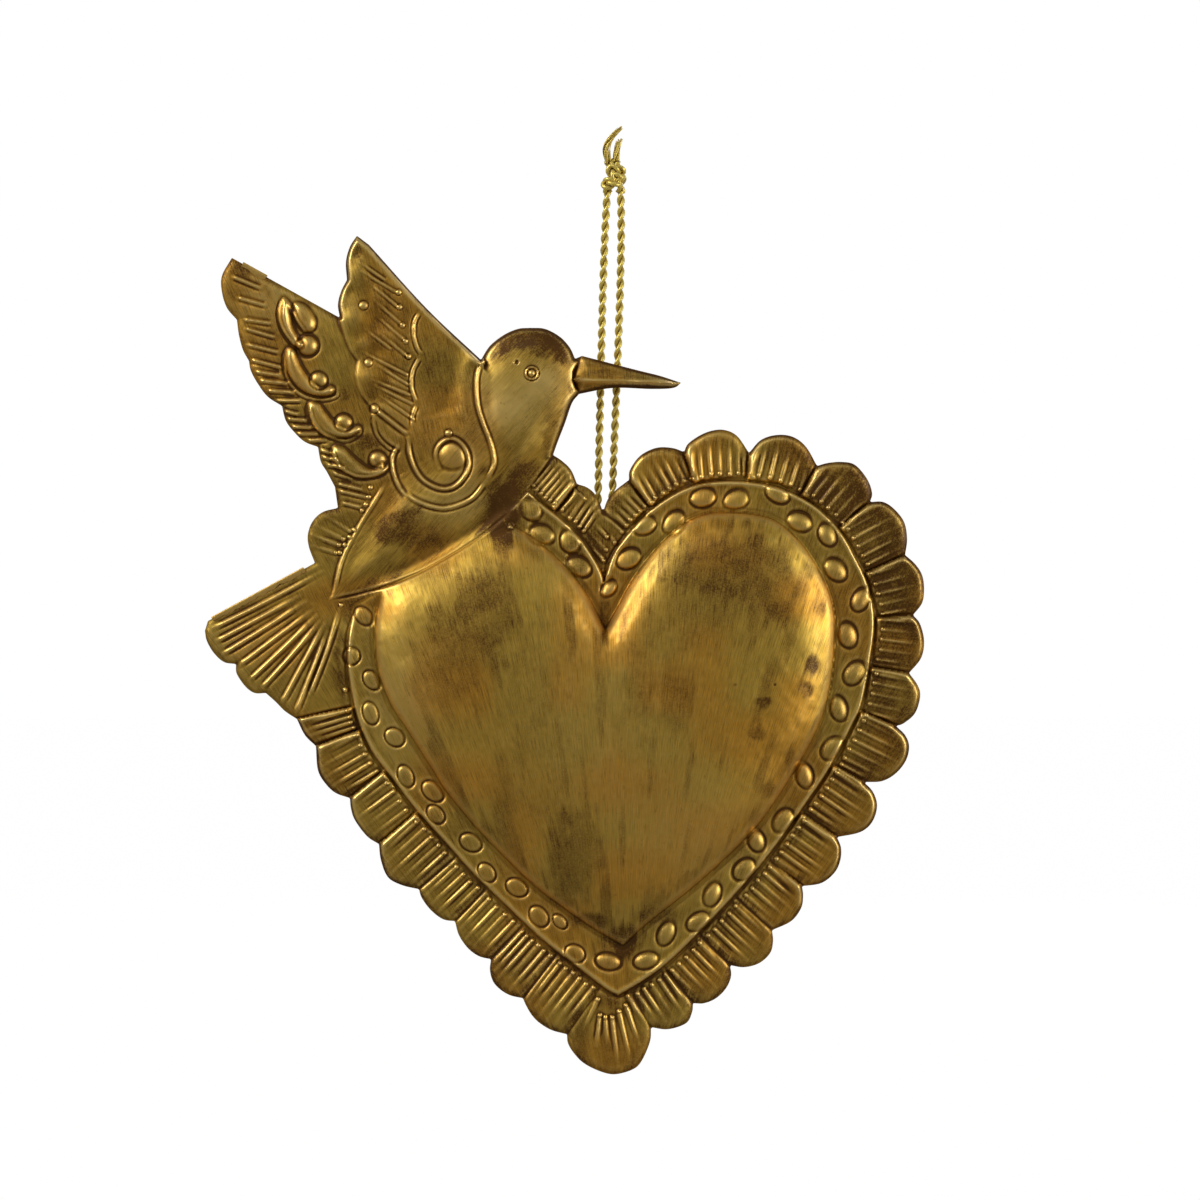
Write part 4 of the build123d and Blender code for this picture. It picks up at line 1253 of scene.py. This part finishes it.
def makeTin(name, glazeBoost, streaks):
    material, tree, shader = startMaterial(name, finishes["metal"])
    feedAll(tree, shader, finishes["coat"])
    brush = addNode(tree, "Group", node_tree=brushGroup)
    strokes = {"Across": mark(tree, "strokeAcross"), "Along": mark(tree, "strokeAlong")}
    feedAll(tree, brush, {**strokes, "Fineness": 1.0, "Depth": streaks})
    gilt = mixColour(tree, mark(tree, "green"), finishes["gilt"], finishes["giltGreen"])
    lighter = spread(tree, brush.outputs["Streak"], *finishes["streaks"])
    dirt = spread(tree, brush.outputs["Streak"], *finishes["dirtInStreaks"])
    # dirt marks and painted shade, made stronger by the glaze boost
    smudge = mathNode(tree, "MULTIPLY", mark(tree, "smudge"), glazeBoost)
    values = {
        "Gilt": mixColour(tree, streaks, gilt, lighter, "MULTIPLY"),
        "Worn": finishes["worn"],
        "Recess": mathNode(tree, "MULTIPLY", mark(tree, "recess"), glazeBoost),
        "Wear": mark(tree, "wear"),
        "Smudge": mathNode(tree, "ADD", smudge, dirt),
    }
    glazeOn(tree, shader, values)
    bumpOn(tree, shader, brush.outputs["Height"], 0.6, finishes["bumpHeight"])
    return material


def makeWire(name, gilt, worn, metallic, speckle):
    material, tree, shader = startMaterial(name, metallic)
    lumps = noiseOn(tree, addNode(tree, "TexCoord").outputs["Object"], 700.0, 4.0)
    values = {"Gilt": gilt, "Worn": worn, "Speckle": speckle, "Recess": 0.25, "Smudge": 0.35, "Wear": lumps}
    glazeOn(tree, shader, values)
    bumpOn(tree, shader, lumps, 0.5, 0.0001)
    return material


frontTin = makeTin("giltTinFront", glazeBoost=1.16, streaks=0.62)
backTin = makeTin("giltTinBack", glazeBoost=0.8, streaks=0.25)
solderMetal = makeWire("tackSolder", (0.42, 0.40, 0.37, 1), (0.72, 0.70, 0.66, 1), metallic=0.9, speckle=0.8)
ringMetal = makeWire("ringWire", (0.45, 0.30, 0.09, 1), (0.8, 0.6, 0.26, 1), metallic=1.0, speckle=0.4)

thread = {
    "dull": (0.92, 0.64, 0.05, 1),
    "bright": (1.0, 0.92, 0.3, 1),
    # dark colour for painted shade in the grooves between yarns and plies, and for each fibre's own tone
    "creaseShadeAndTone": (0.30, 0.15, 0.01, 1),
    "metal": 0.5,
    "sheen": 0.1,
    "dimming": (0, 1, 0.8, 1.2),
    "roughness": (0, 1, 0.22, 0.5),
}


def makeThread():
    material, tree, shader = startMaterial("goldThread", thread["metal"])
    place = addNode(tree, "TexCoord").outputs["Object"]
    fine, slow = noiseOn(tree, place, 2600.0, 2.0), noiseOn(tree, place, 160.0, 2.0)
    colour = mixColour(tree, fine, thread["dull"], thread["bright"])
    colour = mixColour(tree, mark(tree, "creaseShadeAndTone"), colour, thread["creaseShadeAndTone"])
    colour = mixColour(tree, 1.0, colour, spread(tree, slow, *thread["dimming"]), "MULTIPLY")
    rough = spread(tree, fine, *thread["roughness"])
    feedAll(tree, shader, {"Base Color": colour, "Roughness": rough, "Sheen Weight": thread["sheen"]})
    bumpOn(tree, shader, fine, 0.5, 0.00005)
    return material


goldThread = makeThread()
print("finishes ready")

# The cord: loop, knot and frayed ends
cordSizes = {
    "diameter": 0.002,
    "length": 0.1673,
    "lobePitch": 0.006,  # one full turn of a ply, so a lobe shows every 3 mm
    "yarns": 7,
    "yarnDepth": 0.11,
    "yarnLay": 1.6,
    "plyFill": 1.08,  # the plies press into each other
    "ringGap": 0.00028,
    "route": [
        (-0.001545, 0, 0.001465), (-0.002429, 0, -0.009595), (-0.00378, 0, -0.06907),
        (-0.003974, 0, -0.077568), (-0.004053, 0, -0.081067), (-0.000553, 0, -0.081067),
        (-0.000415, 0, -0.07757), (-7.8e-05, 0, -0.069076), (0.002367, 0, -0.007322),
        (0.001736, 0, 0.001465),
    ],
}
knotSizes = {
    "diameter": 0.0024,
    "turns": [
        [(-1.5, 0.1, 1.3), (-1.7, 0.4, 3.2), (-1.5, -1.0, 4.6), (0.1, -1.7, 5.2), (1.9, -1.2, 5.0),
         (2.5, 0.3, 4.4), (1.3, 1.5, 3.9), (-0.7, 1.6, 3.6), (-2.1, 0.6, 3.3), (-2.0, -0.9, 2.9),
         (-0.6, -1.8, 2.9), (1.2, -1.7, 3.4), (2.2, -0.4, 4.4), (1.7, 0.9, 5.9), (0.2, 1.0, 7.2),
         (-1.1, 0.3, 8.4), (-1.32, 0, 9.3)],
        [(1.7, 0.1, 1.3), (1.9, -0.6, 2.3), (0.7, -1.2, 3.9), (-0.9, -1.3, 6.0), (-0.7, -0.8, 7.5),
         (0.9, -1.0, 7.4), (2.0, -0.5, 6.6), (1.9, 0.7, 6.3), (0.9, 1.3, 7.3), (0.4, 0.6, 8.6),
         (0.66, 0, 9.3)],
    ],
}
endSizes = {
    "long": {
        "route": [(-1.318, 9.04), (-2.303, 12.121), (-0.662, 15.403), (2.367, 18.181)],
        "seed": 3,
        "spread": 0.0012,
        "fibre": 0.00015,
    },
    "short": {
        "route": [(0.651, 9.04), (0.853, 12.121), (1.61, 14.898)],
        "seed": 8,
        "spread": 0.0009,
        "fibre": 0.00014,
    },
    "fibres": 44,
    "foot": 0.0009,  # how wide the fibres stand where they leave the knot
    "ringGap": 0.0004,
    "sides": 5,
}


def curvePoints(points, name):
    # the route's own smooth line, as points to follow
    data = bpy.data.curves.new(name, "CURVE")
    data.dimensions = "3D"
    data.resolution_u = 24
    spline = data.splines.new("NURBS")
    spline.points.add(len(points) - 1)
    for point, place in zip(spline.points, points):
        point.co = (*place, 1)
    spline.order_u = 3
    spline.use_endpoint_u = True
    carrier = newObject(name, data, None)
    bpy.context.view_layer.update()
    mesh = bpy.data.meshes.new_from_object(carrier)
    places = np.array([v.co[:] for v in mesh.vertices])
    bpy.data.objects.remove(carrier)
    bpy.data.meshes.remove(mesh)
    return places


def evenly(path, gap):
    lengths = np.r_[0, np.cumsum(np.linalg.norm(np.diff(path, axis=0), axis=1))]
    at = np.linspace(0, lengths[-1], max(3, int(round(lengths[-1] / gap))))
    return np.stack([np.interp(at, lengths, path[:, k]) for k in range(3)], axis=1), at


def headings(path):
    along = np.gradient(path, axis=0)
    return along / np.linalg.norm(along, axis=1)[:, None]


def threadMesh(name, points, faces, creaseShadeAndTone):
    return buildMesh(name, [tuple(p) for p in points], faces, {"creaseShadeAndTone": creaseShadeAndTone}, goldThread)


def strandMesh(name, paths, diameter):
    # two plies laid round each path, each with a lobe for every yarn
    points, faces, creaseShadeAndTone = [], [], []
    yarns, depth, reach = cordSizes["yarns"], cordSizes["yarnDepth"], diameter / 4
    ring = 3 * yarns
    for path in paths:
        path, at = evenly(path, cordSizes["ringGap"])
        along = headings(path)
        side = np.cross(along[0], (0, 1, 0))
        if np.linalg.norm(side) < 0.3:
            side = np.cross(along[0], (1, 0, 0))
        sides = [side / np.linalg.norm(side)]
        for t in along[1:]:
            s = sides[-1] - t * (sides[-1] @ t)
            sides.append(s / np.linalg.norm(s))
        side = np.array(sides)
        other = np.cross(along, side)
        for ply in (0, 1):
            turn = at / cordSizes["lobePitch"] * 2 * math.pi + ply * math.pi
            centre = path + reach * (np.cos(turn)[:, None] * side + np.sin(turn)[:, None] * other)
            first = len(points)
            for k in range(len(path)):
                out = math.cos(turn[k]) * side[k] + math.sin(turn[k]) * other[k]
                flank = np.cross(along[k], out)
                for j in range(ring):
                    a = 2 * math.pi * j / ring
                    yarn = math.cos(a * yarns - cordSizes["yarnLay"] * turn[k] * 2)
                    r = reach * cordSizes["plyFill"] * (1 + depth * (yarn - 1) / 2)
                    points.append(centre[k] + r * (math.cos(a) * out + math.sin(a) * flank))
                    # painted shade: darker in the grooves between yarns and where the plies press together
                    inward = 0.5 - 0.5 * math.cos(a)
                    creaseShadeAndTone.append(min(1, 0.35 * (1 - yarn) / 2 + max(0, inward - 0.45) * 1.3))
            faces += tubeFaces(first, len(path), ring)
    return threadMesh(name, points, faces, creaseShadeAndTone)


def frayedPaths(end):
    # fibres leave the twisted part one by one and spread towards the tip
    chance = random.Random(end["seed"])
    middle = curvePoints([(x * mm, 0, z * mm) for x, z in end["route"]], "frayRoute")
    paths = []
    for _ in range(endSizes["fibres"]):
        angle, reach = chance.uniform(0, 2 * math.pi), chance.uniform(0.15, 1)
        count = int(len(middle) * chance.uniform(0.72, 1.0))
        bend = chance.uniform(-0.5, 0.5)
        path = []
        for k in range(count):
            share = k / len(middle)
            wide = (endSizes["foot"] * (1 - share) + end["spread"] * share) * reach
            a = angle + share * (2.4 + bend)
            off = (math.cos(a) * wide, math.sin(a) * wide * 0.8, 0.25 * math.sin(a + 1) * wide)
            path.append(middle[k] + np.array(off))
        paths.append(np.array(path))
    return paths


def fibreMesh(name, end):
    points, faces, creaseShadeAndTone = [], [], []
    ring = endSizes["sides"]
    for number, path in enumerate(frayedPaths(end)):
        path = evenly(path, endSizes["ringGap"])[0]
        first = len(points)
        for k, (spot, t) in enumerate(zip(path, headings(path))):
            side = np.cross(t, (0.2, 1, 0.1))
            side /= np.linalg.norm(side)
            other = np.cross(t, side)
            thin = end["fibre"] * (1 - 0.45 * k / len(path))
            for j in range(ring):
                a = 2 * math.pi * j / ring
                points.append(spot + thin * (math.cos(a) * side + math.sin(a) * other))
                # each fibre takes its own share of the darker colour, as tone
                creaseShadeAndTone.append(0.15 + 0.25 * (number % 3))
        faces += tubeFaces(first, len(path), ring)
    return threadMesh(name, points, faces, creaseShadeAndTone)


loopPath = curvePoints(cordSizes["route"], "loopRoute")
cordLoop = newObject("twistedCordLoop", strandMesh("cordLoop", [loopPath], cordSizes["diameter"]), "cord")
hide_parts("cord_loop")
knotTurns = [[tuple(v * mm for v in place) for place in turn] for turn in knotSizes["turns"]]
knotPaths = [curvePoints(turn, "knotRoute") for turn in knotTurns]
cordKnot = newObject("overhandKnot", strandMesh("cordKnot", knotPaths, knotSizes["diameter"]), "cord")
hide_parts("cord_knot")
longEnd = newObject("frayedEndLong", fibreMesh("frayLong", endSizes["long"]), "cord")
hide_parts("cord_end_long")
shortEnd = newObject("frayedEndShort", fibreMesh("frayShort", endSizes["short"]), "cord")
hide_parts("cord_end_short")
print("cord laid")

# The two sheets
frontGrid = makeRelief(relief["step"], True)
frontSheet = newObject("embossedFrontSheet", sheetMesh("frontSheet", frontGrid, -1, frontTin), "ornament")
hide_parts("front_sheet")
print("front sheet embossed")

hemSizes = {
    # the folded strip cut across, as (out from the edge, up from the seam) in mm
    "section": [
        (-0.75, 0.7), (0.0, 0.7), (0.1, 0.62), (0.1, -0.12), (0.0, -0.2), (-1.3, -0.2), (-1.3, -0.6),
        (0.25, -0.6), (0.44, -0.52), (0.5, -0.35), (0.5, 0.8), (0.44, 0.93), (0.25, 1.0), (-0.6, 0.98),
        (-0.75, 0.88),
    ],
    # each edge's two ends, and which part of it is folded
    "wing": ((232, 258), (340, 318), 0.1, 0.32),
    "tail": ((208, 621), (315, 563), 0.04, 0.9),
    "lipWobble": 0.28,
    "gap": 0.9,
    "marks": {
        "recess": 0.15, "wear": 0.55, "smudge": 0.1, "green": 0.2, "strokeAcross": 0.0, "strokeAlong": 0.0,
    },
}


def hemPieces():
    points, faces = [], []
    chance = random.Random(12)
    for edge in ("wing", "tail"):
        start, end, low, high = hemSizes[edge]
        start, end = (np.array((toX(p[0]), toZ(p[1]))) / mm for p in (start, end))
        along = end - start
        length = math.hypot(*along)
        along /= length
        outward = np.array((-along[1], along[0]))
        count = max(4, int((high - low) * length / hemSizes["gap"]))
        first, wobble = len(points), 0
        for k in range(count + 1):
            spot = start + along * length * (low + (high - low) * k / count)
            wobble = 0.6 * wobble + chance.uniform(-1, 1) * hemSizes["lipWobble"]
            for out, up in hemSizes["section"]:
                if out < -0.5 and up > 0.5:
                    out += wobble
                place = spot + outward * out
                points.append((place[0] * mm, ornament["seamY"] - up * mm, place[1] * mm))
        faces += tubeFaces(first, count + 1, len(hemSizes["section"]))
    marks = {name: np.full(len(points), value) for name, value in hemSizes["marks"].items()}
    return buildMesh("hems", points, faces, marks, backTin, 50)


backGrid = makeRelief(relief["step"] * relief["backStep"], False)
backSheet = newObject("embossedBackSheet", sheetMesh("backSheet", backGrid, 1, backTin), "ornament")
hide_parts("back_sheet")
hems = newObject("foldedHems", hemPieces(), "ornament")
print("back sheet and its hems made")

for node, metal in (("seam_solder", solderMetal), ("ring_solder", solderMetal), ("hanging_ring", ringMetal)):
    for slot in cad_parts[node].material_slots:
        slot.material = metal
print("solder and ring finished")
